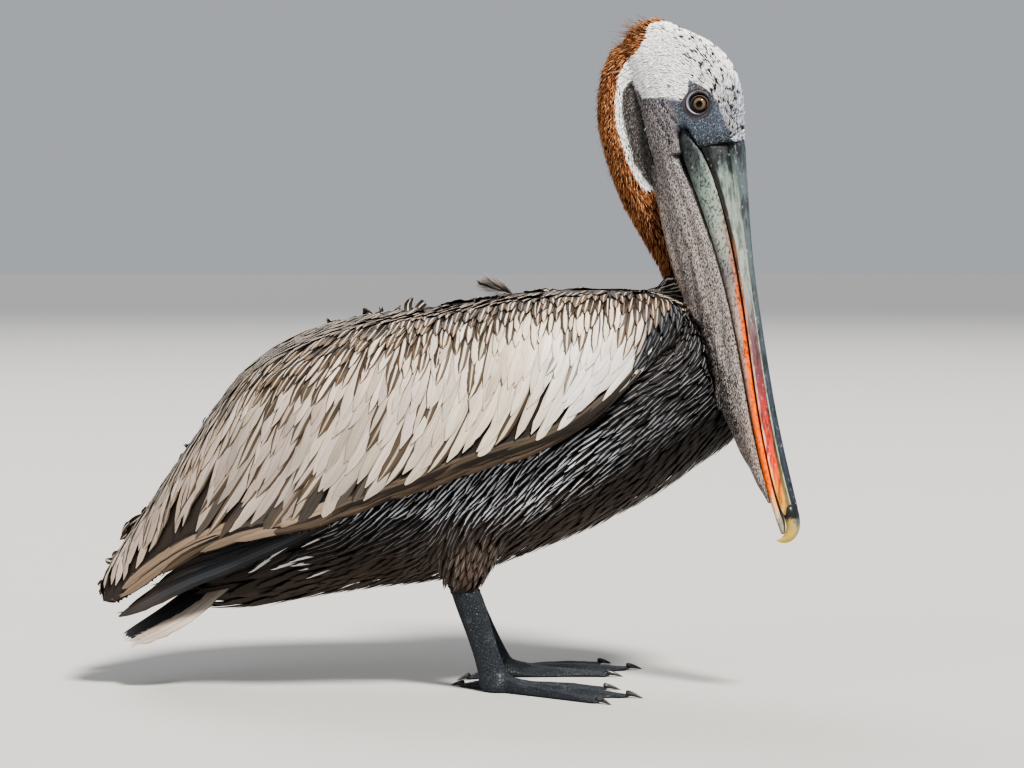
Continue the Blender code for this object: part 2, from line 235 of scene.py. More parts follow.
folds = {                             # along and above in mm: the gape, and the crease behind it
    "gape": ((-50, -42), (-40, -36), (-27.6, -30), (-19.8, -26.2), (-11.7, -21.2), (-1, -17)),
    "crease": ((-50, -48), (-38, -44.5), (-22, -39.5), (-8, -36)),
}


def foldAway(name, along, above):
    return above - pointwise(folds[name], along)


pouchRim = ((-53, -58.5), (80, -58.5), (104, -56), (145, -50), (195, -46), (229, -38), (254, -29), (293, -18))


def skinTint(places, nodes):
    bare, velvet, chestnut = headShares(places, nodes)
    along, above = faceSizes(places).T[:2]
    headOrNeck = np.isin(nodes, ("head", "neck", "pouch"))
    under = np.where(chestnut[:, None], tints.umber * 1.4, tints.white * 0.95)
    tint = np.where(headOrNeck[:, None], under, bodyTint(places))
    overRim = above - pointwise(pouchRim, along)
    # painted shade in the fold along the lower part of the pouch
    foldShadeShare = ease(124, 140, along) * ease(236, 214, along) * ease(17, 12, overRim - 3 * np.sin(along / 9))
    pouch = mixAll(tints.throat, (tints.pouch, ease(-10, 70, along)),
                   (tints.pouchRear, ease(9, 1, overRim) * ease(-5, 40, along) * ease(140, 110, along)),
                   (tints.pouchRear * 0.9, ease(190, 240, along) * 0.8), (tints.fold, foldShadeShare))
    faceShare = ease(-31, -20, above + np.maximum(0, along + 8) * -0.6) * ease(12, -6, along)
    underBrow = ease(11, 3, along - pointwise(browAlong, above)) * ease(-58, -50, above)
    eyeAlong, eyeAbove = along - face["eye"][0], above - face["eye"][1]
    eyeAway = np.hypot((eyeAlong + 1) / 12.5, (eyeAbove + 2.0) / 10.8)
    lidShare = bump(np.hypot(eyeAlong, eyeAbove), 8.6, 0.65) * ease(3, -4, eyeAbove)
    gape, creased = (foldAway(name, along, above) for name in ("gape", "crease"))
    soft = ease(-0.5, -2.5, gape) * ease(0.5, 2.5, creased) * ease(-50, -44, along)
    rootLine = along + 2.0 * np.sin(above * 0.9) + 1.2 * np.sin(above * 2.3)
    # painted shade along the gape and along the crease behind it
    gapeShade = bump(gape, 0, 0.9) * ease(-46, -38, along) * ease(3, -3, along)
    creaseShade = bump(creased, 0, 1) * ease(-46, -36, along) * ease(-4, -12, along)
    throat = mixAll(pouch, (tints.face, np.maximum(faceShare, underBrow * 0.9)),
                    (tints.orbit, ease(1.08, 0.94, eyeAway)),
                    (tints.orbit * 0.15, bump(eyeAway, 1.08, 0.06) * 0.9),
                    (tints.blueGrey * 1.1, lidShare * 0.8),
                    (tints.lilac, soft * ease(-12, -20, along) * 0.65),
                    (tints.face * 0.25, ease(-10, -1, rootLine) * ease(-18, -13, above) * 0.9),
                    (tints.fold * 0.3, gapeShade * 0.95), (tints.fold * 0.4, creaseShade * 0.8))
    tint = np.where(np.isin(nodes, ("head", "pouch"))[:, None], mix(tint, throat, bare), tint)
    tint = np.where((nodes == "pouch")[:, None], throat, tint)
    tint = mix(tint, tints.velvet, np.where(headOrNeck, velvet, 0))
    tint = np.where(oneOf(nodes, "leg", "foot")[:, None], tints.leg, tint)
    # the skin on the wings is painted dark brown as shade, where it shows through gaps between the feathers
    return np.where(oneOf(nodes, "wing")[:, None], tints.darkBrown * 1.2, tint)


# the lie of the coat: a few places, each with the way its feathers run
bodyLie = (                           # x, z, then the run in x and z
    (0.2, 0.228, -0.85, -0.5), (0.12, 0.188, -0.85, -0.55), (0.04, 0.15, -0.66, -0.75),
    (0.01, 0.105, -0.25, -0.97), (0.06, 0.1, -0.8, -0.45), (0.14, 0.14, -0.88, -0.5),
    (-0.05, 0.11, -0.9, -0.4), (-0.11, 0.09, -0.97, -0.22), (-0.19, 0.09, -0.95, -0.25),
    (-0.14, 0.118, -0.8, -0.6), (-0.06, 0.14, -0.72, -0.7),
    (0.235, 0.28, -0.3, -0.95), (0.205, 0.3, -0.3, -0.95), (0.15, 0.31, -0.95, -0.25),
    (0.05, 0.3, -1.0, -0.1), (-0.1, 0.27, -0.95, -0.3), (-0.16, 0.19, -0.75, -0.65),
    (0.1, 0.25, -0.8, -0.55), (0.0, 0.2, -0.8, -0.6),
)
wingLie = (
    (0.185, 0.3, -0.05, -1.0), (0.15, 0.31, -0.08, -1.0), (0.12, 0.3, -0.12, -1.0),
    (0.16, 0.25, -0.42, -0.9), (0.062, 0.29, -0.1, -1.0), (0.062, 0.24, -0.3, -0.94),
    (0.1, 0.215, -0.5, -0.86), (-0.01, 0.29, -0.1, -1.0), (-0.024, 0.2, -0.4, -0.9),
    (-0.024, 0.165, -0.6, -0.8), (-0.07, 0.27, -0.36, -0.92), (-0.11, 0.262, -0.74, -0.66),
    (-0.09, 0.2, -0.52, -0.84), (-0.12, 0.215, -0.58, -0.8), (-0.16, 0.19, -0.62, -0.78),
    (-0.2, 0.18, -0.64, -0.76), (-0.24, 0.132, -0.56, -0.83), (-0.15, 0.135, -0.7, -0.72),
)
headLie = (                           # along, above, then the run in those two
    (0, 15, -1.0, 0.1), (-40, 22, -1.0, 0.0), (-70, 14, -0.85, -0.5), (-92, -10, -0.55, -0.85),
    (-106, -40, 0.15, -1.0), (-92, -62, 0.75, -0.65), (-60, -74, 1.0, -0.15), (0, -78, 1.0, 0.0),
    (-50, -20, -0.55, -0.85), (-45, 0, -0.8, -0.6), (-60, -50, 0.25, -0.95), (-12, 10, -1.0, -0.1),
    (-78, -40, 0.1, -1.0), (40, -70, 1.0, -0.05), (20, -74, 1.0, 0.0),
)
neckLie = (
    (0.142, 0.47, 0.05, -1.0), (0.149, 0.42, 0.18, -1.0), (0.163, 0.39, 0.45, -0.9),
    (0.178, 0.362, 0.5, -0.86), (0.197, 0.331, 0.35, -0.93), (0.207, 0.29, 0.1, -1.0),
)


def lieAt(spots, lie):
    entries = np.array(lie)
    reach = np.ptp(entries[:, :2], axis=0).max() * 0.05
    away = ((spots[:, None, :] - entries[None, :, :2]) ** 2).sum(-1) + reach ** 2
    share = 1 / away ** 2
    return unit((share[..., None] * entries[None, :, 2:]).sum(1) / share.sum(1, keepdims=True))


def flat(run, normals):
    return unit(run - normals * (run * normals).sum(-1, keepdims=True))


def worldLie(places, normals, lie):
    run = lieAt(places[:, [0, 2]], lie)
    return flat(stack(run[:, 0], np.zeros(len(run)), run[:, 1]), normals)


def headRun(places, normals):
    sizes = faceSizes(places)
    run = lieAt(sizes[:, :2], headLie)
    onHead = run[:, :1] * faceAxes[0] + run[:, 1:] * faceAxes[1]
    down = worldLie(places, normals, neckLie)
    low = ease(0.455, 0.415, places[:, 2])[:, None]
    return flat(unit(flat(onHead, normals) * (1 - low) + down * low), normals)


# node helpers for the materials: a wire is a value on its way from node to node
class Wire:
    def __init__(self, tree, socket):
        self.tree = tree
        self.socket = socket

    def __mul__(self, other):
        return calc("MULTIPLY", self, other)

    def __add__(self, other):
        return calc("ADD", self, other)

    def __sub__(self, other):
        return calc("SUBTRACT", self, other)

    def __abs__(self):
        return calc("ABSOLUTE", self, 0.0)


def put(socket, value):
    if isinstance(value, Wire):
        value.tree.links.new(value.socket, socket)
    else:
        socket.default_value = value


def addNode(tree, kind, inputs=None, output=0, **settings):
    made = tree.nodes.new("ShaderNode" + kind)
    for key, value in settings.items():
        setattr(made, key, value)
    for key, value in (inputs or {}).items():
        put(made.inputs[key], value)
    return Wire(tree, made.outputs[output])


def calc(operation, first, second):
    return addNode(first.tree, "Math", {0: first, 1: second}, operation=operation)


def blend(share, first, second, kind="MIX"):
    inputs = {0: share, 6: first, 7: second}
    for key in (6, 7):
        if not isinstance(inputs[key], Wire):
            inputs[key] = (*inputs[key][:3], 1.0)
    tree = next(value.tree for value in inputs.values() if isinstance(value, Wire))
    return addNode(tree, "Mix", inputs, 2, data_type="RGBA", blend_type=kind, clamp_factor=True)


# a colour multiplied by a darker tint: used for real stains and marks, and also for painted shade such as
# along the feather edges
def stainAndShade(colour, stainAndShadeTint):
    return blend(1.0, colour, stainAndShadeTint, "MULTIPLY")


def spread(value, low, high, newLow=0.0, newHigh=1.0):
    return addNode(value.tree, "MapRange", {0: value, 1: low, 2: high, 3: newLow, 4: newHigh},
                   interpolation_type="SMOOTHSTEP")


def ramp(value, stops):
    made = addNode(value.tree, "ValToRGB", {0: value})
    scale = made.socket.node.color_ramp.elements
    while len(scale) < len(stops):
        scale.new(0.5)
    for element, (place, colour) in zip(scale, stops):
        element.position = place
        element.color = (*colour, 1.0)
    return made


def noise(where, scale, detail=3.0, rough=0.55, warp=0.0):
    return addNode(where.tree, "TexNoise", {"Vector": where, "Scale": scale, "Detail": detail,
                                            "Roughness": rough, "Distortion": warp}, "Fac")


def cellEdges(where, scale, random=1.0):
    return addNode(where.tree, "TexVoronoi", {"Vector": where, "Scale": scale, "Randomness": random},
                   "Distance", feature="DISTANCE_TO_EDGE")


def stretch(where, scale, turn=(0, 0, 0)):
    return addNode(where.tree, "Mapping", {"Vector": where, "Scale": scale, "Rotation": turn})


def parts(value, kind="XYZ"):
    node = addNode(value.tree, "Separate" + kind, {0: value}).socket.node
    return [Wire(value.tree, socket) for socket in node.outputs]


def attribute(tree, name, output="Color"):
    return addNode(tree, "Attribute", None, output, attribute_name=name)


def uvParts(tree, name):
    return parts(addNode(tree, "UVMap", uv_map=name))[:2]


def objectPlace(tree):
    return addNode(tree, "TexCoord", None, "Object")


def newGroup(name, outputs, inputs):
    tree = bpy.data.node_groups.new(name, "ShaderNodeTree")
    for label, kind in outputs.items():
        tree.interface.new_socket(label, in_out="OUTPUT", socket_type="NodeSocket" + kind)
    for label, value in inputs.items():
        kind = "Vector" if isinstance(value, tuple) else "Float"
        socket = tree.interface.new_socket(label, in_out="INPUT", socket_type="NodeSocket" + kind)
        socket.default_value = value
    start = tree.nodes.new("NodeGroupInput")
    return tree, {label: Wire(tree, start.outputs[label]) for label in inputs}


def closeGroup(tree, **values):
    end = tree.nodes.new("NodeGroupOutput")
    for label, value in values.items():
        put(end.inputs[label], value)
    return tree


def placeGroup(tree, group, **inputs):
    node = addNode(tree, "Group", inputs, node_tree=group).socket.node
    return {socket.name: Wire(tree, socket) for socket in node.outputs}


def newMaterial(name):
    material = bpy.data.materials.new(name)
    material.use_nodes = True
    return material, material.node_tree


def finish(material, colour, roughness, relief=None, others=None):
    tree = material.node_tree
    values = {"Base Color": colour, "Roughness": roughness, **(others or {})}
    if relief:                        # height, strength and depth of a bump
        values["Normal"] = addNode(tree, "Bump", dict(zip(("Height", "Strength", "Distance"), relief)))
    for label, value in values.items():
        put(tree.nodes["Principled BSDF"].inputs[label], value)
    return material


def grainGroup():                     # fine mottling and a matching height, for nail and claws
    tree, start = newGroup("Fine grain", {"Mask": "Float", "Height": "Float"},
                           {"Scale": 400.0, "Stretch": (1, 1, 1)})
    drawn = stretch(objectPlace(tree), start["Stretch"])
    both = noise(drawn, start["Scale"] * 3.1, 2.0) * 0.4 + noise(drawn, start["Scale"], 4.0, 0.6) * 0.6
    return closeGroup(tree, Mask=spread(both, 0.38, 0.62), Height=both)


def vaneGroup():                      # one feather's streak, shaft, barbs, worn tip, and painted shade along its edges
    tree, start = newGroup("Feather vane", {"Colour": "Color", "Height": "Float", "Sheen": "Float"},
                           {"Barbs": 26.0, "Shaft": 0.5, "Shade": 0.5})
    streakWidth, wornTip, chance = parts(attribute(tree, "Form", "Vector"))
    side, along = uvParts(tree, "Vane")
    across = abs(side * 2.0 - 1.0)
    ragged = noise(addNode(tree, "CombineXYZ", {0: side, 1: along * 0.35, 2: chance * 37.0}), 9.0)
    slope = ragged * 0.1 + (along - across * 0.22)
    wave = calc("SINE", slope * (start["Barbs"] * (2 * math.pi)), 0.0)
    limit = streakWidth * (ragged * 0.5 + (along * 0.35 + 0.72))
    streak = spread(limit - across, -0.1, 0.16) * spread(streakWidth, 0.0, 0.06)
    worn = spread(ragged * 0.2 + (across * 0.1 + along), 0.78, 1.02) * wornTip
    colour = blend(streak, blend(worn, attribute(tree, "Ground"), tints.tan),
                   blend(worn * 0.45, attribute(tree, "Mark"), tints.tan))
    dark = (wave * 0.1 + 0.1) * start["Shade"]
    # rim: painted shade along both edges of each vane, where neighbouring feathers overlap
    rim = spread(across, 0.72, 1.0) * 0.3
    shaft = spread(across, 0.075, 0.02) * start["Shaft"]
    fleck = spread(ragged, 0.6, 0.42) * 0.16
    colour = blend(dark + rim + shaft * 0.35 + fleck, colour, stainAndShade(colour, (0.16, 0.13, 0.12)))
    return closeGroup(tree, Colour=colour, Height=wave * 0.25 + shaft * 1.2, Sheen=ragged * 0.25 + 0.42)


grain = grainGroup()
vanePattern = vaneGroup()


def featherMaterial(name, barbs, shaft, shade, sheen):
    material, tree = newMaterial(name)
    vane = placeGroup(tree, vanePattern, Barbs=barbs, Shaft=shaft, Shade=shade)
    return finish(material, vane["Colour"], vane["Sheen"], (vane["Height"], 0.35, 0.0002),
                  {"Specular IOR Level": 0.35, "Sheen Weight": sheen})


def plushMaterial():                  # the short coat of head and neck: dark at the root, bright at the tip
    material, tree = newMaterial("Plush")
    ground = attribute(tree, "Ground")
    along = uvParts(tree, "Vane")[1]
    patch = noise(objectPlace(tree), 330.0)
    colour = blend(spread(along, 0.0, 0.5), stainAndShade(ground, (0.86, 0.83, 0.81)), ground)
    colour = blend(spread(patch, 0.55, 0.35) * 0.22, colour, stainAndShade(colour, (0.35, 0.3, 0.3)))
    return finish(material, colour, spread(patch, 0.3, 0.7, 0.65, 0.85), (patch, 0.25, 0.0003),
                  {"Specular IOR Level": 0.25, "Sheen Weight": 0.15})


coverts = featherMaterial("Covert vane", 30.0, 0.45, 0.75, 0.08)
bodyVane = featherMaterial("Body vane", 16.0, 0.1, 0.6, 0.05)
quillVane = featherMaterial("Quill vane", 70.0, 1.0, 0.9, 0.05)
plush = plushMaterial()
print("materials: feathers ready")


# how the two halves of the bill run: along, low, high and half its width, in mm, then the section
billLength = 300
upperBill = {
    "grow": 1.03,
    "stations": ((-9, -13.5, 17.0, 17.0), (0.8, -14.5, 18.5, 17.6), (10, -11.4, 17.4, 17.3),
                 (22, -9.2, 15.2, 16.5), (45, -6.0, 12.4, 15.2), (85, -5.2, 6.4, 12.2),
                 (125, -6.4, 3.4, 11.0), (165, -9.0, 1.4, 10.8), (205, -11.9, -0.6, 11.4),
                 (245, -13.0, -0.6, 11.8), (275, -12.4, 0.4, 10.8), (290, -11.0, 0.9, 8.9),
                 (297, -9.8, 1.0, 7.4)),
    "section": ((0.0, 1.0), (0.13, 0.97), (0.24, 0.84), (0.31, 0.52), (0.36, 0.2), (0.41, 0.16),
                (0.46, 0.32), (0.6, 0.22), (0.78, -0.1), (0.92, -0.48), (1.0, -0.8), (0.93, -0.98),
                (0.7, -0.92), (0.35, -0.84), (0.0, -0.82)),
}
lowerBill = {
    "grow": 1.06,
    "stations": ((-23, -25.6, -22.6, 16.5), (-18, -27.6, -20.4, 17.6), (-12, -29.8, -18.4, 18.8),
                 (-8, -30.2, -17.2, 19.5), (2, -30.4, -13.6, 19.0), (20, -27.6, -9.4, 18.0),
                 (42, -24.3, -7.0, 16.4), (82, -19.4, -6.2, 13.4), (122, -18.0, -7.4, 12.2),
                 (162, -17.4, -9.9, 12.0), (202, -18.6, -12.8, 12.4), (242, -19.2, -13.9, 12.0),
                 (278, -18.4, -13.2, 9.6), (298, -16.8, -11.6, 6.0), (306, -15.9, -12.4, 3.6),
                 (309, -15.6, -13.4, 2.2)),
    "section": ((0.0, 0.8), (0.55, 0.86), (0.8, 0.98), (0.93, 0.88), (0.99, 0.45), (1.0, 0.05),
                (0.97, -0.4), (0.86, -0.8), (0.62, -0.98), (0.3, -0.98), (0.0, -0.96)),
}


# the skin: copies of the flesh, grown until they meet, made one surface and smoothed
bodyNodes = ["trunk", "thigh_right", "thigh_left", "neck"]
wholeNodes = bodyNodes + ["wing_right", "wing_left"]
skin = {
    "flesh": ["trunk", "neck", "head", "pouch", "wing_right", "wing_left", "thigh_right", "thigh_left",
              "leg_right", "leg_left", "foot_right", "foot_left"],
    "grow": 0.0011, "voxel": 0.0014, "keptFaces": 0.045,
    "depth": {"trunk": 5.5, "wing": 4.5, "thigh": 4.0, "neck": 3.6, "head": 2.0},      # mm under the flesh
}


def selectWhere(piece, chosen):
    pick(piece)
    toMode("EDIT")
    bpy.ops.mesh.select_mode(type="VERT")
    bpy.ops.mesh.select_all(action="DESELECT")
    toMode("OBJECT")
    piece.data.vertices.foreach_set("select", chosen.astype(bool))
    toMode("EDIT")


def copyOf(names, newName):
    deselect()
    for nodeName in names:
        node = frame["nodes"][nodeName]
        twin = node.copy()
        twin.data = node.data.copy()
        twin.parent = None
        twin.matrix_world = Matrix.Identity(4)
        bpy.context.scene.collection.objects.link(twin)
        twin.select_set(True)
        bpy.context.view_layer.objects.active = twin
    if len(names) > 1:
        bpy.ops.object.join()
    piece = bpy.context.view_layer.objects.active
    piece.name = newName
    piece.data.name = newName
    piece.data.materials.clear()
    toMode("EDIT")
    bpy.ops.mesh.select_all(action="SELECT")
    bpy.ops.mesh.remove_doubles(threshold=0.000002)
    toMode("OBJECT")
    return piece


def guideOf(piece):
    mesh = piece.data
    return BVHTree.FromPolygons(placesOf(mesh).tolist(), [polygon.vertices[:] for polygon in mesh.polygons])


def merged(names, newName, grow, voxel, rounds, close=0.0):
    piece = copyOf(names, newName)
    flesh = guideOf(piece)
    useModifier(piece, "DISPLACE", strength=grow + close, mid_level=0.0)
    useModifier(piece, "REMESH", mode="VOXEL", voxel_size=voxel)
    places = placesOf(piece.data)
    selectWhere(piece, places[:, 2] == places[:, 2].max())       # only the outer shell stays
    bpy.ops.mesh.select_linked()
    bpy.ops.mesh.select_all(action="INVERT")
    bpy.ops.mesh.delete(type="VERT")
    toMode("OBJECT")
    if close:                         # drawn in again as far as the flesh: only narrow slots stay filled
        useModifier(piece, "SMOOTH", factor=0.5, iterations=3)
        places = placesOf(piece.data)
        normals = placesOf(piece.data, "normal")
        for row, (place, normal) in enumerate(zip(places, normals)):
            hit = flesh.ray_cast(Vector(place), Vector(-normal), 0.03)
            places[row] -= normal * min(hit[3] - grow if hit[0] is not None else close, close)
        setPlaces(piece.data, places)
    useModifier(piece, "SMOOTH", factor=0.5, iterations=rounds)
    return piece


def nodeFinder(names):                # tells which CAD node a place on the skin belongs to
    corners, faces, owners, shift = [], [], [], 0
    for nodeName in names:
        mesh = frame["nodes"][nodeName].data
        corners.extend(placesOf(mesh).tolist())
        for polygon in mesh.polygons:
            faces.append([corner + shift for corner in polygon.vertices])
            owners.append(nodeName)
        shift = len(corners)
    tree = BVHTree.FromPolygons(corners, faces)
    return lambda places: np.array([owners[tree.find_nearest(place)[2]] for place in places])


whichNode = nodeFinder(skin["flesh"])
whichWhole = nodeFinder(wholeNodes)
bodyGuide = merged(bodyNodes, "body_guide", 0.0006, 0.0028, 14)
wingGuides = {side: merged(["wing_" + side], "wing_guide_" + side, 0.0004, 0.002, 8) for side in sides}
bodyTree = guideOf(bodyGuide)
wholeGuide = merged(wholeNodes, "whole_guide", 0.0006, 0.0024, 3, 0.0075)
wholeTree = guideOf(wholeGuide)
wingTrees = {side: guideOf(wingGuides[side]) for side in sides}

bird = merged(skin["flesh"], "skin", skin["grow"], skin["voxel"], 10)
print("skin remeshed:", len(bird.data.vertices), "vertices")


# places and normals of the whole outer surface, kept for the roots of the plush
outer = placesOf(bird.data)
outerNormals = placesOf(bird.data, "normal")
along, above, aside = faceSizes(outer).T
bare, velvet = headZones(outer)[:2]
nearFace = (along > -75) & (along < 330) & (above > -66) & (bare + velvet > 0.01) & (np.abs(aside) < 34)
nearFace &= outer[:, 2] > 0.13
selectWhere(bird, ~oneOf(whichNode(outer), "foot", "leg") & ~nearFace)
bpy.ops.mesh.decimate(ratio=skin["keptFaces"])
toMode("OBJECT")
for reach in (17, 12):                # finer rings round the eyes
    along, above, aside = faceSizes(placesOf(bird.data)).T
    eyeAway = np.hypot(along - face["eye"][0], above - face["eye"][1])
    selectWhere(bird, (eyeAway < reach) & (np.abs(aside) > 12))
    bpy.ops.mesh.subdivide(number_cuts=1, smoothness=0.0)
    bpy.ops.mesh.vertices_smooth(factor=0.4, repeat=2)
    toMode("OBJECT")

places = placesOf(bird.data)
normals = placesOf(bird.data, "normal")
nodes = whichNode(places)
bare, velvet = headShares(places, nodes)[:2]
along, above, aside = faceSizes(places).T
depth = np.zeros(len(places))
for part, value in skin["depth"].items():
    depth[oneOf(nodes, part)] = value * mm
depth = np.where(oneOf(nodes, "head", "neck"), depth * (1 - np.clip(bare + velvet, 0, 1)), depth)
fleshTree = guideOf(bird)
for row in np.flatnonzero(depth > 0):     # no deeper than a part of the flesh's own thickness
    hit = fleshTree.ray_cast(Vector(places[row] - normals[row] * 0.0003), Vector(-normals[row]), 0.04)
    if hit[0] is not None:
        depth[row] = min(depth[row], 0.3 * hit[3])
places = places - normals * (depth + skin["grow"])[:, None]
places[:, 2] = np.maximum(places[:, 2], 0.0)
for row in np.flatnonzero(oneOf(nodes, "trunk", "wing", "thigh") & (places[:, 2] > 0.11)):
    near, away = wholeTree.find_nearest(places[row])[:2]      # never above the surface under the feathers
    over = (Vector(places[row]) - near).dot(away) + 0.0018
    if over > 0:
        places[row] -= np.array(away) * min(over, 0.008)

# lids, the gape's fold and the pouch's long creases
onPouch = nodes == "pouch"
eyeAlong, eyeAbove = along - face["eye"][0], above - face["eye"][1]
ball = np.sqrt(np.maximum(face["eyeRadius"] ** 2 - eyeAlong ** 2 - eyeAbove ** 2, 0))
away = np.hypot(eyeAlong, eyeAbove * 0.94)
lid = 1.5 * bump(away, 8.3, 1.5) + 0.35 * np.sin(away * 2.4) * ease(15, 10, away) * (away > 8.5)
wanted = np.where(away < 7.2, face["eye"][2] + ball - 1.6, np.abs(aside) + lid)
shift = (wanted - np.abs(aside)) * np.where(away < 7.2, ease(7.3, 6.4, away), 1.0) * np.sign(aside)
shift *= (away < 16) & (np.abs(aside) > 12) & (nodes == "head")
places = places + faceAxes[2] * shift[:, None] * mm
lowEdge, highEdge, hornHalf = readTable(lowerBill["stations"], along)
beside = ease(-19, -15, along) * ease(26, 20, along) * ease(-0.6, 0.8, above - lowEdge)
beside *= ease(0.6, -0.8, above - highEdge) * oneOf(nodes, "head", "pouch")
drawn = np.minimum(hornHalf * 0.86, np.abs(aside)) - np.abs(aside)
places = places + faceAxes[2] * (np.sign(aside) * drawn * beside * mm)[:, None]
flush = ease(-17, -1.5, above - lowEdge) * ease(-6, 8, along) * ease(300, 285, along)
swell = np.clip(hornHalf * 1.03 + 0.2 - np.abs(aside), 0, 5) * onPouch
places = places + faceAxes[2] * (np.sign(aside) * flush * swell * mm)[:, None]
rimUp = 2.0 * ease(-7, -1, above - lowEdge) * onPouch * ease(10, 30, along) * ease(296, 270, along)
places = places + faceAxes[1] * (rimUp * mm)[:, None]
crease = np.sin((above + 58) * 0.62 + 0.03 * along + 1.2 * np.sin(along * 0.045)) * ease(20, 60, along)
crease *= ease(296, 250, along) * onPouch
gape, creased = (foldAway(name, along, above) for name in ("gape", "crease"))
gapeCut = bump(gape, 0, 0.9) + 0.7 * bump(creased, 0, 1.0) - 0.5 * bump(gape, -3.5, 2.2)
gapeCut *= ease(-46, -38, along) * ease(-2, -10, along) * (nodes == "head")
places = places + normals * ((0.35 * crease - 0.9 * gapeCut) * mm)[:, None]
setPlaces(bird.data, places)
colourAttribute(bird.data, "Tint", skinTint(places, nodes))
pouchShare = np.where(onPouch, 1.0, bare * ease(-24, -34, above) * (nodes == "head"))
faceShare = np.where(nodes == "head", bare, 0.0) * (1 - pouchShare)
faceShare *= ease(9.5, 13.5, np.hypot(eyeAlong - 1, eyeAbove + 2))
colourAttribute(bird.data, "Region", stack(oneOf(nodes, "leg", "foot"), pouchShare, faceShare))
bird.data.shade_smooth()
print("skin shaped:", len(bird.data.polygons), "faces")


def skinMaterial():
    material, tree = newMaterial("Bare skin")
    tint, where = attribute(tree, "Tint"), objectPlace(tree)
    leg, pouch, cheek = parts(attribute(tree, "Region"), "Color")[:3]
    # pouch: fine dark and pinkish marks drawn out along the bill
    marks = noise(stretch(where, (1.0, 1.0, 0.36), (0.0, math.radians(-11), 0.0)), 1500.0, 3.0, 0.55, 0.7)
    colour = blend(spread(marks, 0.485, 0.435) * pouch * 0.9, tint, stainAndShade(tint, (0.12, 0.1, 0.1)))
    colour = blend(spread(marks, 0.525, 0.565) * pouch * 0.85, colour, (0.42, 0.38, 0.36))
    # face: blue-grey, with painted glints on the fine wrinkles and painted shade in the dark pits
    wrinkle = noise(stretch(where, (1.0, 1.0, 0.6), (0.0, 0.5, 0.0)), 1250.0, 3.0, 0.6, 1.2)
    colour = blend(spread(wrinkle, 0.57, 0.62) * cheek * 0.75, colour, (0.34, 0.4, 0.48))
    colour = blend(spread(wrinkle, 0.48, 0.41) * cheek * 0.7, colour, (0.012, 0.014, 0.02))
    # legs and feet: small scales with dusty edges
    scales = cellEdges(stretch(where, (1.0, 1.0, 0.75)), 430.0, 0.8)
    scuff = spread(noise(where, 60.0, 5.0, 0.7), 0.55, 0.75) * leg
    colour = blend(spread(scales, 0.12, 0.0) * leg * 0.6, colour, (0.012, 0.015, 0.02))
    colour = blend(scuff * 0.45, colour, (0.22, 0.23, 0.25))
    height = marks * pouch * 0.8 + wrinkle * cheek * 1.5
    height = height + spread(scales, 0.0, 0.14) * leg * 0.7 + cellEdges(where, 900.0) * cheek * 0.6
    return finish(material, colour, spread(marks, 0.3, 0.7, 0.62, 0.42), (height, 0.8, 0.0007))


bird.data.materials.append(skinMaterial())
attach(bird, "root")
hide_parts(*skin["flesh"])


# pieces drawn out of a ring, step by step
def startRing(name, count, reshape):
    deselect()
    bpy.ops.mesh.primitive_circle_add(vertices=count, radius=1.0, fill_type="NGON", location=(0, 0, 0))
    piece = bpy.context.object
    piece.name = name
    piece.data.name = name
    setPlaces(piece.data, reshape(placesOf(piece.data)))
    toMode("EDIT")
    bpy.ops.mesh.select_mode(type="FACE")
    bpy.ops.mesh.select_all(action="SELECT")
    return piece


def drawTo(shift, size, centre, turn=0.0):
    bpy.ops.mesh.extrude_region_move(TRANSFORM_OT_translate={"value": shift})
    if turn:
        bpy.ops.transform.rotate(value=-turn, orient_axis="X", center_override=centre)
    bpy.ops.transform.resize(value=size, center_override=centre)


def faceOut(piece):
    pick(piece)
    toMode("EDIT")
    bpy.ops.mesh.select_all(action="SELECT")
    bpy.ops.mesh.normals_make_consistent(inside=False)
    toMode("OBJECT")


def closeRing(piece, refineBy, putAt, material):
    toMode("OBJECT")
    faceOut(piece)
    useModifier(piece, "SUBSURF", levels=refineBy, render_levels=refineBy)
    local = placesOf(piece.data)
    setPlaces(piece.data, putAt(local))
    faceOut(piece)
    piece.data.shade_smooth()
    piece.data.materials.append(material)
    return local


def ontoFace(local):
    return np.array(face["root"]) + (local[:, [2, 1, 0]] * mm) @ faceAxes


# the bill: a ring of the bill's own section, drawn out from station to station
def drawOut(name, plan, material):
    half, stations, grow = plan["section"], plan["stations"], plan["grow"]
    ring = list(half) + [(-x, y) for x, y in half[-2:0:-1]]
    along, low, high, wide = stations[0]
    piece = startRing(name, len(ring), lambda _: np.array(
        [(x * wide * grow, (low + high) / 2 + y * grow * (high - low) / 2, along) for x, y in ring]))
    for before, after in zip(stations, stations[1:]):
        middle, wider = (after[1] + after[2]) / 2, after[3] / before[3]
        taller = (after[2] - after[1]) / (before[2] - before[1])
        drawTo((0, middle - (before[1] + before[2]) / 2, after[0] - before[0]), (wider, taller, 1),
               (0, middle, after[0]))
    local = closeRing(piece, 2, ontoFace, material)
    across, above, along = local.T
    low, high, wide = readTable(stations, along)
    colourAttribute(piece.data, "Band", stack(along / billLength, np.abs(across) / wide,
                                              (above - low) / (high - low)))
    return piece


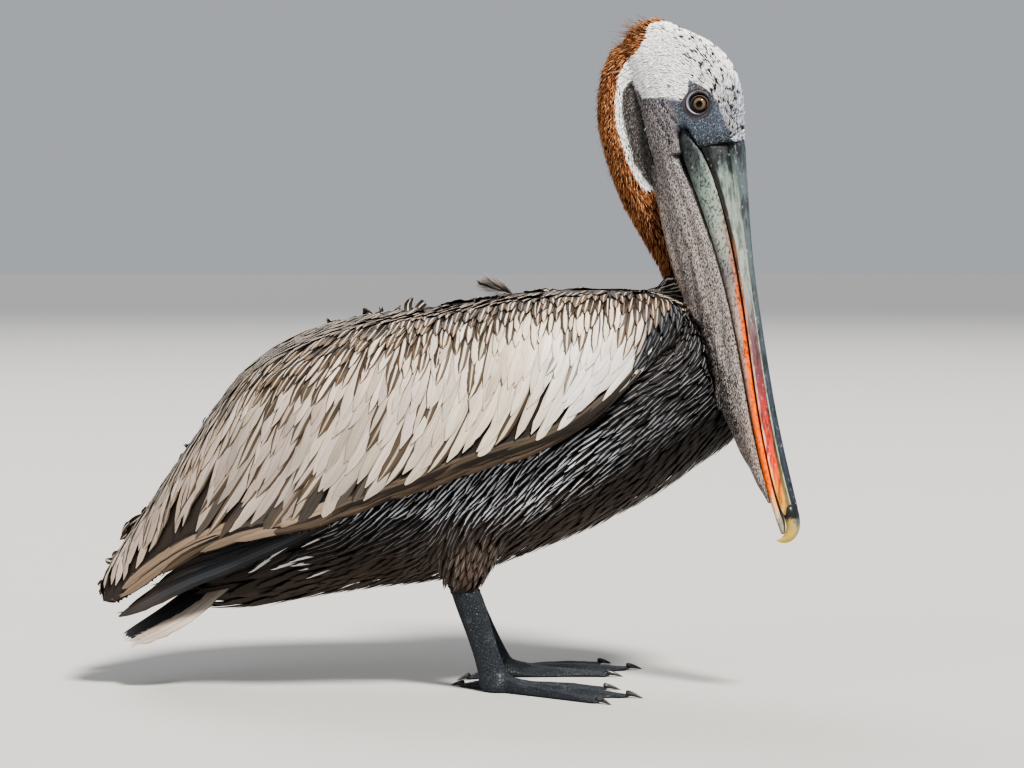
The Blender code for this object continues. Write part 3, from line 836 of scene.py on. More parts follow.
upperRamps = {                        # linear colours from the root to the tip
    "plate": ((0.0, (0.012, 0.014, 0.017)), (0.05, (0.03, 0.04, 0.043)), (0.085, (0.16, 0.21, 0.19)),
              (0.14, (0.2, 0.25, 0.22)), (0.3, (0.29, 0.33, 0.3)), (0.42, (0.24, 0.25, 0.25)),
              (0.5, (0.19, 0.12, 0.125)), (0.62, (0.16, 0.05, 0.06)), (0.74, (0.46, 0.05, 0.04)),
              (0.86, (0.74, 0.07, 0.025)), (0.94, (0.66, 0.28, 0.04)), (1.0, (0.45, 0.34, 0.13))),
    "inner": ((0.0, (0.03, 0.035, 0.04)), (0.1, (0.22, 0.26, 0.21)), (0.35, (0.34, 0.37, 0.3)),
              (0.5, (0.17, 0.17, 0.14)), (0.66, (0.085, 0.065, 0.045)), (0.86, (0.1, 0.07, 0.035)),
              (1.0, (0.22, 0.19, 0.08))),
    "culmen": ((0.0, (0.035, 0.045, 0.055)), (0.05, (0.095, 0.12, 0.13)), (0.3, (0.1, 0.126, 0.138)),
               (0.6, (0.05, 0.066, 0.082)), (0.93, (0.03, 0.04, 0.055)), (1.0, (0.016, 0.018, 0.022))),
    "rim": ((0.0, (0.012, 0.012, 0.013)), (0.22, (0.05, 0.035, 0.028)), (0.42, (0.36, 0.15, 0.08)),
            (0.6, (0.62, 0.42, 0.33)), (0.8, (0.8, 0.48, 0.3)), (1.0, (0.72, 0.5, 0.18))),
    "cream": ((0.0, (0.015, 0.018, 0.02)), (0.06, (0.1, 0.13, 0.12)), (0.18, (0.26, 0.29, 0.24)),
              (0.7, (0.36, 0.39, 0.32)), (1.0, (0.4, 0.38, 0.22))),
}
lowerRamps = {
    "side": ((0.0, (0.03, 0.034, 0.038)), (0.05, (0.07, 0.09, 0.088)), (0.12, (0.22, 0.28, 0.24)),
             (0.24, (0.32, 0.35, 0.31)), (0.34, (0.21, 0.19, 0.185)), (0.48, (0.42, 0.33, 0.28)),
             (0.62, (0.5, 0.29, 0.21)), (0.74, (0.72, 0.17, 0.045)), (0.92, (0.84, 0.145, 0.012)),
             (0.97, (0.74, 0.6, 0.4)), (1.0, (0.3, 0.3, 0.24))),
    "top": ((0.0, (0.04, 0.045, 0.05)), (0.1, (0.26, 0.31, 0.27)), (0.28, (0.26, 0.17, 0.12)),
            (0.4, (0.5, 0.12, 0.04)), (0.5, (0.8, 0.135, 0.02)), (0.9, (0.94, 0.165, 0.006)),
            (0.97, (0.8, 0.62, 0.4)), (1.0, (0.36, 0.34, 0.26))),
}


def hornStreaks(where, scale, drawn):
    lengthways = stretch(where, (1.0, 1.0, drawn), (math.radians(10), math.radians(-11), 0.0))
    return noise(lengthways, scale, 5.0, 0.62, 0.3)


def upperMaterial():
    material, tree = newMaterial("Upper horn")
    along, beside, high = parts(attribute(tree, "Band", "Vector"))
    where = objectPlace(tree)
    streaks, fleck = hornStreaks(where, 260.0, 0.07), hornStreaks(where, 520.0, 0.45)
    jitter = streaks * 0.14 + (along - 0.07)
    plate, inner, culmen, rim, cream = (ramp(jitter, upperRamps[name])
                                        for name in ("plate", "inner", "culmen", "rim", "cream"))
    wobble = streaks * 0.1 + (beside - 0.05)
    # near the tip the coloured side narrows toward the cutting edge
    edge = spread(along, 0.5, 0.95) * 0.26 + 0.55
    colour = blend(spread(wobble, edge - 0.1, edge), inner, plate)
    colour = blend(spread(beside, 0.445, 0.425), colour, cream)
    colour = blend(spread(streaks * 0.04 + beside, 0.375, 0.355) * spread(high, 0.66, 0.73), colour, culmen)
    colour = blend(spread(wobble, 0.965, 0.995), colour, rim)
    # painted shade in the nasal groove beside the culmen
    grooveShade = spread(abs(beside - 0.455), 0.035, 0.012) * spread(high, 0.45, 0.55)
    colour = blend(grooveShade * 0.85, colour, (0.012, 0.014, 0.018))
    colour = blend(spread(streaks, 0.54, 0.4) * 0.75, colour, stainAndShade(colour, (0.36, 0.31, 0.3)))
    colour = blend(spread(fleck, 0.6, 0.7) * 0.35, colour, (0.62, 0.66, 0.62))
    return finish(material, colour, spread(fleck, 0.3, 0.7, 0.3, 0.52), (streaks + fleck * 0.5, 0.5, 0.0005))


def lowerMaterial():
    material, tree = newMaterial("Lower horn")
    along, _, high = parts(attribute(tree, "Band", "Vector"))
    where = objectPlace(tree)
    streaks, fleck = hornStreaks(where, 300.0, 0.1), hornStreaks(where, 620.0, 0.55)
    jitter = streaks * 0.12 + (along - 0.06)
    reach = spread(along, 0.3, 0.8, 0.12, -0.22)         # the bright rim widens toward the tip
    colour = blend(spread(streaks * 0.3 + high - reach, 0.72, 0.94), ramp(jitter, lowerRamps["side"]),
                   ramp(jitter, lowerRamps["top"]))
    spots = spread(fleck, 0.48, 0.41) * spread(along, 0.85, 0.45, 0.45, 0.85)
    colour = blend(spots, colour, stainAndShade(colour, (0.22, 0.19, 0.19)))
    colour = blend(spread(fleck, 0.6, 0.7) * 0.3, colour, (0.74, 0.66, 0.58))
    return finish(material, colour, spread(fleck, 0.3, 0.7, 0.36, 0.55), (streaks + fleck, 0.45, 0.0005))


upper = drawOut("bill_upper_horn", upperBill, upperMaterial())
lower = drawOut("bill_lower_horn", lowerBill, lowerMaterial())
for piece, node, slotName in ((upper, "bill_upper", "horn_grey"), (lower, "bill_lower", "horn_red")):
    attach(piece, "root")
    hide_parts(node)

# the nail: a hooked tip, drawn out and turned down step by step
nail = {                              # steps: along, above, half its depth and half its width in mm
    "steps": ((287.0, -5.0, 4.4, 6.6), (292.5, -4.9, 5.9, 8.5), (297.5, -4.8, 5.9, 7.8),
              (301.5, -4.8, 5.6, 7.0), (305, -5.4, 5.3, 6.2), (309, -7.2, 5.0, 5.4), (312.2, -10.4, 4.3, 4.3),
              (313.6, -14.0, 3.2, 3.0), (313.4, -17.6, 1.9, 1.8), (312.3, -20.6, 0.6, 0.6)),
    "sides": 20,
    "colours": ((0.0, (0.66, 0.56, 0.28)), (0.35, (0.62, 0.46, 0.12)), (0.72, (0.58, 0.42, 0.11)),
                (0.9, (0.36, 0.31, 0.14)), (1.0, (0.1, 0.11, 0.1))),
}


def nailMaterial():
    material, tree = newMaterial("Nail horn")
    along, _, high = parts(attribute(tree, "Band", "Vector"))
    fleck = placeGroup(tree, grain, Scale=420.0, Stretch=(1, 1, 0.4))
    colour = blend(spread(fleck["Mask"] * 0.12 + along, 0.36, 0.14),
                   ramp(fleck["Mask"] * 0.14 + high, nail["colours"]), (0.022, 0.024, 0.026))
    return finish(material, colour, spread(fleck["Mask"], 0, 1, 0.28, 0.45), (fleck["Height"], 0.3, 0.0003))


def buildNail():
    steps = nail["steps"]
    along, above, tall, wide = steps[0]
    piece = startRing("bill_nail_horn", nail["sides"],
                      lambda ring: ring * (wide, tall, 1) + (0, above, along))
    heading = 0.0
    for before, after in zip(steps, steps[1:]):
        turn = math.atan2(before[1] - after[1], after[0] - before[0]) - heading
        heading += turn
        drawTo((0, after[1] - before[1], after[0] - before[0]),
               (after[3] / before[3],) + (after[2] / before[2],) * 2, (0, after[1], after[0]), turn)
    local = closeRing(piece, 2, ontoFace, nailMaterial())
    across, above, along = local.T
    colourAttribute(piece.data, "Band", stack((along - 296) / 18, np.abs(across) / 8, (above + 21) / 22))
    return piece


nailPiece = buildNail()
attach(nailPiece, "root")
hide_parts("bill_nail")
print("bill drawn out")

# eyes: a clear-coated ball, iris and pupil by the distance from its own pole
eyes = {
    "segments": 72, "rings": 48, "bulge": 0.6, "lookUp": 6.0, "lookForward": 10.0,
    "colours": ((0.0, (0.003, 0.003, 0.003)), (0.09, (0.004, 0.004, 0.004)), (0.101, (0.06, 0.045, 0.032)),
                (0.125, (0.2, 0.15, 0.105)), (0.18, (0.16, 0.105, 0.062)), (0.205, (0.05, 0.028, 0.018)),
                (0.232, (0.008, 0.006, 0.006)), (0.262, (0.02, 0.015, 0.014)), (0.285, (0.17, 0.15, 0.14)),
                (0.36, (0.07, 0.055, 0.05))),
}


def eyeMaterial():
    material, tree = newMaterial("Eye")
    turn, away = uvParts(tree, "Ball")
    flecks = noise(objectPlace(tree), 1500.0, 4.0, 0.6)
    spoke = noise(addNode(tree, "CombineXYZ", {0: turn * 40.0, 1: away * 3.0}), 1.6)
    colour = ramp(flecks * 0.012 + away, eyes["colours"])
    colour = blend(spread(spoke, 0.62, 0.4) * 0.35, colour, stainAndShade(colour, (0.45, 0.35, 0.3)))
    return finish(material, colour, 0.12, None,
                  {"Specular IOR Level": 0.1, "Coat Weight": 0.4, "Coat Roughness": 0.03})


eyeFinish = eyeMaterial()
for side, sign in sides.items():
    deselect()
    bpy.ops.mesh.primitive_uv_sphere_add(segments=eyes["segments"], ring_count=eyes["rings"],
                                         radius=face["eyeRadius"] * mm, location=(0, 0, 0))
    ball = bpy.context.object
    ball.name = "eyeball_" + side
    ball.data.uv_layers[0].name = "Ball"
    looking = (faceRight * -sign + faceUp * math.sin(math.radians(eyes["lookUp"]))
               + billLine * math.sin(math.radians(eyes["lookForward"]))).normalized()
    local = placesOf(ball.data)
    poleShare = np.clip(local[:, 2] / (face["eyeRadius"] * mm), -1, 1)
    local[:, 2] += eyes["bulge"] * mm * ease(0.72, 1.0, poleShare)     # the cornea
    angle = np.arccos(poleShare) / math.pi
    centre = np.array(facePlace(face["eye"][0], face["eye"][1], -sign * face["eye"][2]))
    turned = np.array(looking.to_track_quat("Z", "Y").to_matrix())
    setPlaces(ball.data, centre + local @ turned.T)
    for loop, uv in zip(ball.data.loops, ball.data.uv_layers[0].data):
        uv.uv.y = angle[loop.vertex_index]
    ball.data.shade_smooth()
    ball.data.materials.append(eyeFinish)
    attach(ball, "root")
    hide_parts("eye_" + side)

# claws: a narrow cone drawn out and curved over, one for each CAD claw
claws = {"sides": 12, "steps": 6, "curve": 0.55, "sunk": 0.0055, "lowest": (-1.0, -1.0, 0.0003)}


def clawMaterial():
    material, tree = newMaterial("Claw")
    fleck = placeGroup(tree, grain, Scale=700.0, Stretch=(0.3, 1, 1))
    colour = blend(fleck["Mask"], (0.016, 0.014, 0.014), (0.075, 0.066, 0.06))
    return finish(material, colour, spread(fleck["Mask"], 0, 1, 0.25, 0.5), (fleck["Height"], 0.3, 0.0002))


clawFinish = clawMaterial()


def buildClaw(side, number):
    node = frame["nodes"][f"claw_{side}_{number}"]
    corners = placesOf(node.data)
    low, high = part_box(node.name)
    shank = placesOf(frame["nodes"]["leg_" + side].data)
    ankle = shank[shank[:, 2] < 0.012].mean(axis=0)
    away = np.linalg.norm(corners[:, :2] - ankle[:2], axis=1)
    start = corners[away < away.min() + 0.0012].mean(axis=0)
    tip = corners[away > away.max() - 0.0006].mean(axis=0)
    girth = (high[2] - low[2]) * 0.52
    steps, sunk = claws["steps"], claws["sunk"]
    piece = startRing(f"claw_horn_{side}_{number}", claws["sides"], lambda ring: ring * girth)
    step = (np.linalg.norm((tip - start)[:2]) + sunk) / steps
    for count in range(1, steps + 1):
        share = count / steps
        bend = step * math.sin(claws["curve"] * share)
        narrow = (1 - share) ** 0.75 / max((1 - share + 1 / steps) ** 0.75, 0.05)
        drawTo((bend, 0, step * math.cos(claws["curve"] * share)), (max(narrow, 0.25),) * 3,
               (count * 0.5 * bend, 0, step * count))
    heading = Vector((tip - start)[:2].tolist() + [0.0]).normalized()
    basis = np.array([(0, 0, -1), (-heading.y, heading.x, 0.0), heading])     # it curves down to the floor
    lifted = start - np.array(heading) * sunk + (0, 0, 0.0004)
    closeRing(piece, 1, lambda local: np.maximum(lifted + local @ basis, claws["lowest"]), clawFinish)
    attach(piece, "root")
    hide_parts(node.name)


for side in sides:
    for number in range(1, 5):
        buildClaw(side, number)
print("eyes and claws placed")


# feathers: many closed, thin vanes joined in one mesh, each on its own curved spine
tuftPatch = (0.003, 0.003)            # one tuft's part of the bake map
sharpFrom = math.radians(70)
coatTriangles = []


def addCoat(name, slotName, material, spines, ups, halves, crown, share, tint, mark, form, bakeAt, columns=3,
            bakeSize=tuftPatch):
    count, rows = spines.shape[:2]
    runs = unit(np.gradient(spines, axis=1))
    across = unit(np.cross(runs, ups))
    lifts = unit(np.cross(across, runs))
    place = np.linspace(-1, 1, columns)
    dome = 1 - place ** 2
    left, right = (halves, halves) if isinstance(halves, np.ndarray) else halves
    reach = np.where(place[None, None, :] < 0, left[..., None], right[..., None]) * place
    crowned = crown[:, None, None] * dome * np.minimum(left, right)[..., None] / np.maximum(
        left.max(axis=1), 1e-6)[:, None, None]
    grid = spines[:, :, None] + across[:, :, None] * reach[..., None] + lifts[:, :, None] * crowned[..., None]
    size = rows * columns
    row, column = np.meshgrid(np.arange(rows - 1), np.arange(columns), indexing="ij")
    nextColumn = (column + 1) % columns
    first, second = row * columns + column, row * columns + nextColumn
    quads = stack(first, second, second + columns, first + columns).reshape(-1, 4)
    caps = np.stack([np.arange(columns)[::-1], (rows - 1) * columns + np.arange(columns)])
    base = (np.arange(count) * size)[:, None, None]
    allQuads = (quads[None] + base).reshape(-1, 4)
    allCaps = (caps[None] + base).reshape(-1, columns)
    mesh = bpy.data.meshes.new(name)
    mesh.vertices.add(count * size)
    mesh.vertices.foreach_set("co", grid.ravel())
    loops = np.concatenate([allQuads.ravel(), allCaps.ravel()]).astype(np.int32)
    starts = np.concatenate([np.arange(len(allQuads)) * 4,
                             len(allQuads) * 4 + np.arange(len(allCaps)) * columns]).astype(np.int32)
    mesh.loops.add(len(loops))
    mesh.loops.foreach_set("vertex_index", loops)
    mesh.polygons.add(len(starts))
    mesh.polygons.foreach_set("loop_start", starts)
    mesh.update(calc_edges=True)
    u = np.broadcast_to(place[None, None, :] * 0.5 + 0.5, (count, rows, columns))
    v = np.broadcast_to(share[None, :, None], (count, rows, columns))
    vane = stack(u, v).reshape(-1, 2)
    patch = (stack(u, v) - 0.5) * np.asarray(bakeSize) + bakeAt[:, None, None, :]
    for label, table in (("OFBake", patch.reshape(-1, 2)), ("Vane", vane)):
        layer = mesh.uv_layers.new(name=label)
        layer.data.foreach_set("uv", table[loops].ravel())
    for label, table in (("Ground", tint), ("Mark", mark), ("Form", form)):
        colourAttribute(mesh, label, np.repeat(table, size, axis=0))
    mesh.polygons.foreach_set("use_smooth", np.ones(len(mesh.polygons), dtype=bool))
    mesh.set_sharp_from_angle(angle=sharpFrom)
    mesh.materials.append(material)
    piece = bpy.data.objects.new(name, mesh)
    bpy.context.scene.collection.objects.link(piece)
    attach(piece, "root")
    coatTriangles.append(sum(len(polygon.vertices) - 2 for polygon in mesh.polygons))
    print(f"{name}: {coatTriangles[-1]} triangles")
    return piece


def throwTips(spots, runs, normals, visible, wide, spacing=1.0):
    cell = 1.05 * max(visible.max(), wide.max()) * spacing
    across = np.cross(runs, normals)
    homes, kept = {}, []
    for index in range(len(spots)):
        key = tuple(np.floor(spots[index] / cell).astype(int))
        near = []
        for dx in (-1, 0, 1):
            for dy in (-1, 0, 1):
                for dz in (-1, 0, 1):
                    near += homes.get((key[0] + dx, key[1] + dy, key[2] + dz), [])
        if near:
            gaps = spots[near] - spots[index]
            ahead = gaps @ runs[index] / visible[index]
            beside = gaps @ across[index] / wide[index]
            apart = gaps @ normals[index] / wide[index]
            if (ahead ** 2 + beside ** 2 + apart ** 2).min() < spacing ** 2:
                continue
        homes.setdefault(key, []).append(index)
        kept.append(index)
    return np.array(kept)


def pickRows(chosen, *tables):
    return [table[chosen] for table in tables]


def wholeOnes(spines, length, least):  # those with room enough for their length, and no sharp turn
    heading = unit(np.diff(spines, axis=1))
    straight = (heading[:, 1:] * heading[:, :-1]).sum(-1).min(axis=1) > 0.45
    return straight & (np.linalg.norm(spines[:, -1] - spines[:, 0], axis=1) > least * length)


def layBack(tree, tips, run, length, rows, rootDepth, tipLift):
    count = len(tips)
    spines = np.zeros((count, rows, 3))
    ups = np.zeros((count, rows, 3))
    here = tips.copy()
    stopped = np.zeros(count, dtype=int)
    stepLength = length / (rows - 1)
    for row in range(rows - 1, -1, -1):
        for index in range(count):
            spot, normal, _, _ = tree.find_nearest(here[index])
            if row < rows - 1 and normal.dot(Vector(ups[index, -1])) < 0.3:
                spot, normal = spines[index, row + 1], ups[index, row + 1]
                stopped[index] = max(stopped[index], row + 1)    # a root stops where the surface turns over
            spines[index, row] = spot
            ups[index, row] = normal
        if row:
            here = spines[:, row] - run(spines[:, row], ups[:, row]) * stepLength[:, None]
    for index in np.flatnonzero(stopped):      # a stopped feather is a shorter one, its rows spread out again
        place = np.linspace(stopped[index], rows - 1, rows)
        low = place.astype(int)
        high, part = np.minimum(low + 1, rows - 1), (place - low)[:, None]
        for table in (spines, ups):
            table[index] = table[index, low] * (1 - part) + table[index, high] * part
    smoothUps = ups.copy()
    smoothUps[:, 1:-1] = ups[:, 1:-1] * 2 + ups[:, 2:] + ups[:, :-2]
    smoothUps = unit(smoothUps)
    for index in range(count):            # a root never comes out on the other side
        spot, up = Vector(spines[index, 0]), Vector(ups[index, 0])
        through = tree.ray_cast(spot - up * 0.0002, -up, 0.02)
        if through[0] is not None:
            rootDepth[index] = min(rootDepth[index], 0.4 * through[3])
    share = np.linspace(0, 1, rows)
    height = -rootDepth[:, None] + (rootDepth + tipLift)[:, None] * share ** 0.8
    return spines + smoothUps * height[..., None], smoothUps


def seeded(mesh, repeats, loose):
    spots = np.repeat(placesOf(mesh), repeats, axis=0)
    normals = np.repeat(placesOf(mesh, "normal"), repeats, axis=0)
    nudge = dice.normal(0, loose, spots.shape)
    nudge -= normals * (nudge * normals).sum(-1, keepdims=True)
    order = dice.permutation(len(spots))
    return (spots + nudge)[order], normals[order]


leafShape = ((0.0, 0.35), (0.12, 0.75), (0.35, 1.0), (0.7, 0.98), (0.88, 0.78), (0.96, 0.45), (1.0, 0.1))
plushShape = ((0.0, 0.8), (0.5, 1.0), (1.0, 0.08))


def plainForm(count):                 # no streak, no worn tip, and the chance that varies a tuft
    return stack(np.zeros(count), np.zeros(count), dice.random(count))


def swayed(spines, ups, share, swing, length):
    sideways = unit(np.cross(unit(np.gradient(spines, axis=1)), ups))
    return spines + sideways * (swing[:, None] * share ** 2 * length[:, None])[..., None]


def shapeHalves(shape, rows, half, ragged=0.0):
    table = np.array(shape)
    share = np.linspace(0, 1, rows) ** 0.85
    width = np.interp(share, table[:, 0], table[:, 1])
    halves = half[:, None] * width[None, :]
    if not ragged:
        return share, halves
    bite = 1 - ragged * np.clip(dice.normal(0, 0.6, (2, len(half), rows)), 0, 1) * (share > 0.45)
    return share, (halves * bite[0], halves * bite[1])


# the folded wings: dark streaked feathers along the back, long pale ones below
wing = {                              # places are x in m, or how far down from the ridge in mm
    "streakedFor": ((0.2, 110), (0.165, 84), (0.12, 66), (0.03, 74), (-0.04, 96), (-0.12, 88), (-0.17, 58),
                    (-0.22, 32), (-0.28, 15)),
    "ridge": ((0.186, 296, 62), (0.172, 312, 52), (0.142, 318, 38), (0.092, 318, 26), (0.04, 313.5, 16),
              (-0.014, 303, 6), (-0.068, 297, 1.5), (-0.118, 281, 0.8), (-0.164, 252, 0.8),
              (-0.205, 197, 1.5), (-0.243, 141, 3), (-0.265, 108, 7), (-0.277, 84, 15)),
    "visible": ((0, 12), (50, 16), (80, 23), (110, 32), (160, 38)),
    "width": ((0, 4.8), (50, 5.4), (80, 6.0), (110, 6.8), (160, 7.8)),
    "darkAhead": ((200, 0.095), (219, 0.108), (229, 0.132), (243, 0.136), (263, 0.141), (283, 0.154),
                  (296, 0.169), (315, 0.192)),      # height, then where the shoulder's dark part begins
    "rows": 8, "inner": (20.0, 7.0), "root": 3.4,
}


def ridgeAway(places):                # how far a place on a wing lies below the wing's ridge, in mm
    high, middle = readTable(wing["ridge"], places[:, 0])
    return np.maximum(high - places[:, 2] / mm, 0) + 0.25 * np.maximum(np.abs(places[:, 1]) / mm - middle, 0)


def betweenRidges(places):            # 1 between the two wings' ridges, 0 outside them
    return ease(4, -4, np.abs(places[:, 1]) / mm - readTable(wing["ridge"], places[:, 0])[1])


def wingRun(places, normals):         # down and outward on a wing, straight back between the ridges
    run = lieAt(places[:, [0, 2]], wingLie)
    aslant = stack(run[:, 0], np.sign(places[:, 1]) * 0.8 * np.abs(run[:, 1]), run[:, 1])
    inside = betweenRidges(places)[:, None]
    return flat(unit(aslant * (1 - inside) + np.array((-1.0, 0, -0.1)) * inside), normals)


edgeRays = {"x": (-0.272, 0.185, 116), "y": (0.004, 0.116, 40)}      # from, to, and how many


def wingLow(side, sign):              # the wing's lower edge, from rays sent up under it
    found = []
    for x in np.linspace(*edgeRays["x"]):
        for y in np.linspace(*edgeRays["y"]):
            hit = wingTrees[side].ray_cast(Vector((x, sign * y, -0.05)), Vector((0, 0, 1)))[0]
            if hit is not None:
                found.append((x, y, hit.z))
    found = np.array(found)
    rows = []
    for x in np.unique(found[:, 0]):
        column = found[found[:, 0] == x]
        outer = column[column[:, 1] > column[:, 1].max() - 0.03]
        rows.append(outer[outer[:, 2].argmin()])
    rows = np.array(rows)
    for _ in range(4):
        rows[1:-1] = (rows[1:-1] * 2 + rows[2:] + rows[:-2]) / 4
    return rows


wingEdges = {side: wingLow(side, sign) for side, sign in sides.items()}


def coverWing(side, sign):
    spots, normals = seeded(wholeGuide.data, 4, 0.0009)
    spots, normals = pickRows(spots[:, 1] * sign > 0.0005, spots, normals)
    x, y, z = spots.T
    nodes = whichWhole(spots)
    onWing = oneOf(nodes, "wing") & (normals[:, 2] > -0.62)
    onBack = (betweenRidges(spots) > 0.2) & (normals[:, 2] > 0.45) & (x < 0.18) & (z > 0.25)
    onBack &= (nodes != "neck") | (z < 0.314)
    hollow = (nodes == "trunk") & (x < -0.03) & (z > 0.13) & (np.abs(y) < 0.03) & (normals[:, 2] > 0.3)
    spots, normals = pickRows(onWing | onBack | hollow, spots, normals)
    x, y, z = spots.T
    down = ridgeAway(spots)
    overEdge = (z - readTable(wingEdges[side], x)[1]) / mm
    wall = (normals[:, 1] * sign < -0.15) & (x < 0.02) & (normals[:, 2] < 0.6) & (down < 7)
    inner = (normals[:, 1] * sign < -0.25) & (x < -0.05) & (overEdge > 18) & ~wall
    least = 3.0 - 1.6 * ease(0.04, -0.04, x) - 1.4 * ease(-0.2, -0.24, x)
    keep = inner | (~wall & (overEdge > least) & (normals[:, 2] > -0.5))
    keep &= (wingRun(spots, np.zeros_like(normals)) * normals).sum(-1) <= 0.72
    spots, normals, down, overEdge, inner = pickRows(keep, spots, normals, down, overEdge, inner)
    x, y, z = spots.T
    rear = ease(-0.12, -0.2, x) * ease(8, 40, down)
    shoulder = ease(-0.004, 0.004, x - pointwise(wing["darkAhead"], z / mm))
    nearEdge = ease(18, 6, overEdge) * ease(0.0, -0.1, x)
    back = betweenRidges(spots) * (x > -0.06)
    visible = pointwise(wing["visible"], down) * (1 + 0.1 * rear) * (1 - 0.4 * shoulder)
    visible *= 1 - 0.4 * nearEdge
    wide = pointwise(wing["width"], down) * (1 - 0.05 * rear) * (1 - 0.3 * shoulder)
    visible, wide = (np.where(inner, plain, value) for plain, value in zip(wing["inner"], (visible, wide)))
    dense = 1 - 0.16 * ease(70, 100, down)
    kept = throwTips(spots, wingRun(spots, normals), normals, visible * dense * mm, wide * dense * mm, 0.84)
    spots, down, visible, wide, rear, shoulder, inner, back, nearEdge = pickRows(
        kept, spots, down, visible, wide, rear, shoulder, inner, back, nearEdge)
    count, rows = len(spots), wing["rows"]
    size = dice.uniform(0.85, 1.18, count)
    scapular = (back > 0.5) & (np.abs(spots[:, 0] - 0.02) < 0.05) & (dice.random(count) < 0.3)
    length = visible * 2.2 * size * np.where(scapular, 1.9, 1.0) * (1 + 0.4 * rear + 0.4 * nearEdge) * mm
    streaked = pointwise(wing["streakedFor"], spots[:, 0])
    lower = ease(0.42, 1.12, down / streaked + dice.normal(0, 0.13, count))
    lift = np.where(lower > 0.7, dice.uniform(0.0, 0.5, count), dice.uniform(0.2, 1.1, count))
    spines, ups = layBack(wholeTree, spots, wingRun, length, rows, np.full(count, wing["root"] * mm),
                          lift * mm)
    full = wholeOnes(spines, length, np.where(spots[:, 0] > 0.15, 0.15, 0.36))
    spots, down, wide, size, lower, length, scapular = pickRows(full, spots, down, wide, size, lower, length,
                                                                scapular)
    rear, shoulder, inner, back, nearEdge, spines, ups = pickRows(full, rear, shoulder, inner, back, nearEdge,
                                                                  spines, ups)
    count, x = len(spots), spots[:, 0]
    swing = dice.normal(0, 0.055, count)
    share, halves = shapeHalves(leafShape, rows, wide * 0.64 * size * mm, 0.16)
    spines = swayed(spines, ups, share, swing, length)
    chance = dice.random(count)
    shade = dice.uniform(0.7, 1.3, count)[:, None]
    ground = mix(tints.darkBrown, tints.olive, lower * 0.8) * shade
    palest = mix(tints.cream, tints.pale, ease(0.1, -0.2, x))
    palest = mix(tints.cream * 1.08, palest, lower)
    dull = dice.uniform(0.88, 1.18, count) - 0.25 * dice.random(count) * ease(0.02, -0.12, x)
    tanShare = ease(0.82, 1.0, chance) * 0.5 * lower + rear * 0.45 * ease(0.45, 0.2, chance)
    brightTip = ease(0.05, 0.09, x) * ease(60, 85, down) * (1 - shoulder)
    mark = mixAll(palest * dull[:, None] * (1 + dice.normal(0, 0.02, (count, 3))),
                  (tints.worn, np.clip(tanShare, 0, 1)), (tints.white * 0.92, brightTip * 0.7),
                  (tints.silver * 0.45, shoulder), (tints.worn * 0.8, inner * 0.7))
    ground = mixAll(ground, (tints.pale * 0.8, brightTip * 0.7), (tints.slate * 0.6 * shade, shoulder))
    streak = 0.15 + 0.76 * np.maximum(lower, brightTip) ** 1.2
    streak *= np.where(dice.random(count) < 0.1 + 0.14 * lower * (1 - lower) * 4, 0.35, 1.0)
    streak *= np.where(dice.random(count) < 0.25 * ease(0.05, -0.08, x) * lower, 0.5, 1.0)      # browner ones
    streak = np.where(inner, 0.42, streak * (1 - shoulder) + 0.17 * shoulder)
    streak = np.where(scapular, 0.75, streak * (1 - back) + 0.2 * back)
    tips = np.clip((0.75 - lower * 0.6) * (0.1 + 0.9 * chance) + rear * 0.35 * (chance > 0.5), 0, 1)
    tips = tips * (1 - np.maximum(shoulder, back * 0.7))
    slateOnes = ((dice.random(count) < 0.5) & (nearEdge > 0.5))[:, None]      # grey ones along the lower edge
    ground = np.where(slateOnes, tints.darkBrown * 1.3 * shade, ground)
    mark = np.where(slateOnes, mix(tints.slate, tints.olive, 0.5) * 1.2 * shade, mark)
    form = stack(streak, tips, dice.random(count))
    bakeAt = stack((x + 0.285) / 0.5, np.clip(down / 230, 0, 1)) * 0.98 + 0.01
    addCoat("coat_wing_" + side, "silver_coverts", coverts, spines, ups, halves, wide * 0.075 * mm, share,
            ground, mark, form, bakeAt, 5)


for side, sign in sides.items():
    coverWing(side, sign)


# the trunk and thighs: dark feathers with silver streaks, plain brown below
body = {"seen": 11.5, "wide": 3.6, "root": 3.8, "rows": 6}     # mm in sight, across, and below at the root


def underWing(spots):
    hidden = np.zeros(len(spots), dtype=bool)
    for index, spot in enumerate(spots):
        near, away = wholeTree.find_nearest(spot)[:2]
        hidden[index] = (Vector(spot) - near).dot(away) < (-0.006 if spot[0] > 0.12 else -0.0016)
    return hidden


def bodyRun(places, normals):
    return worldLie(places, normals, bodyLie)


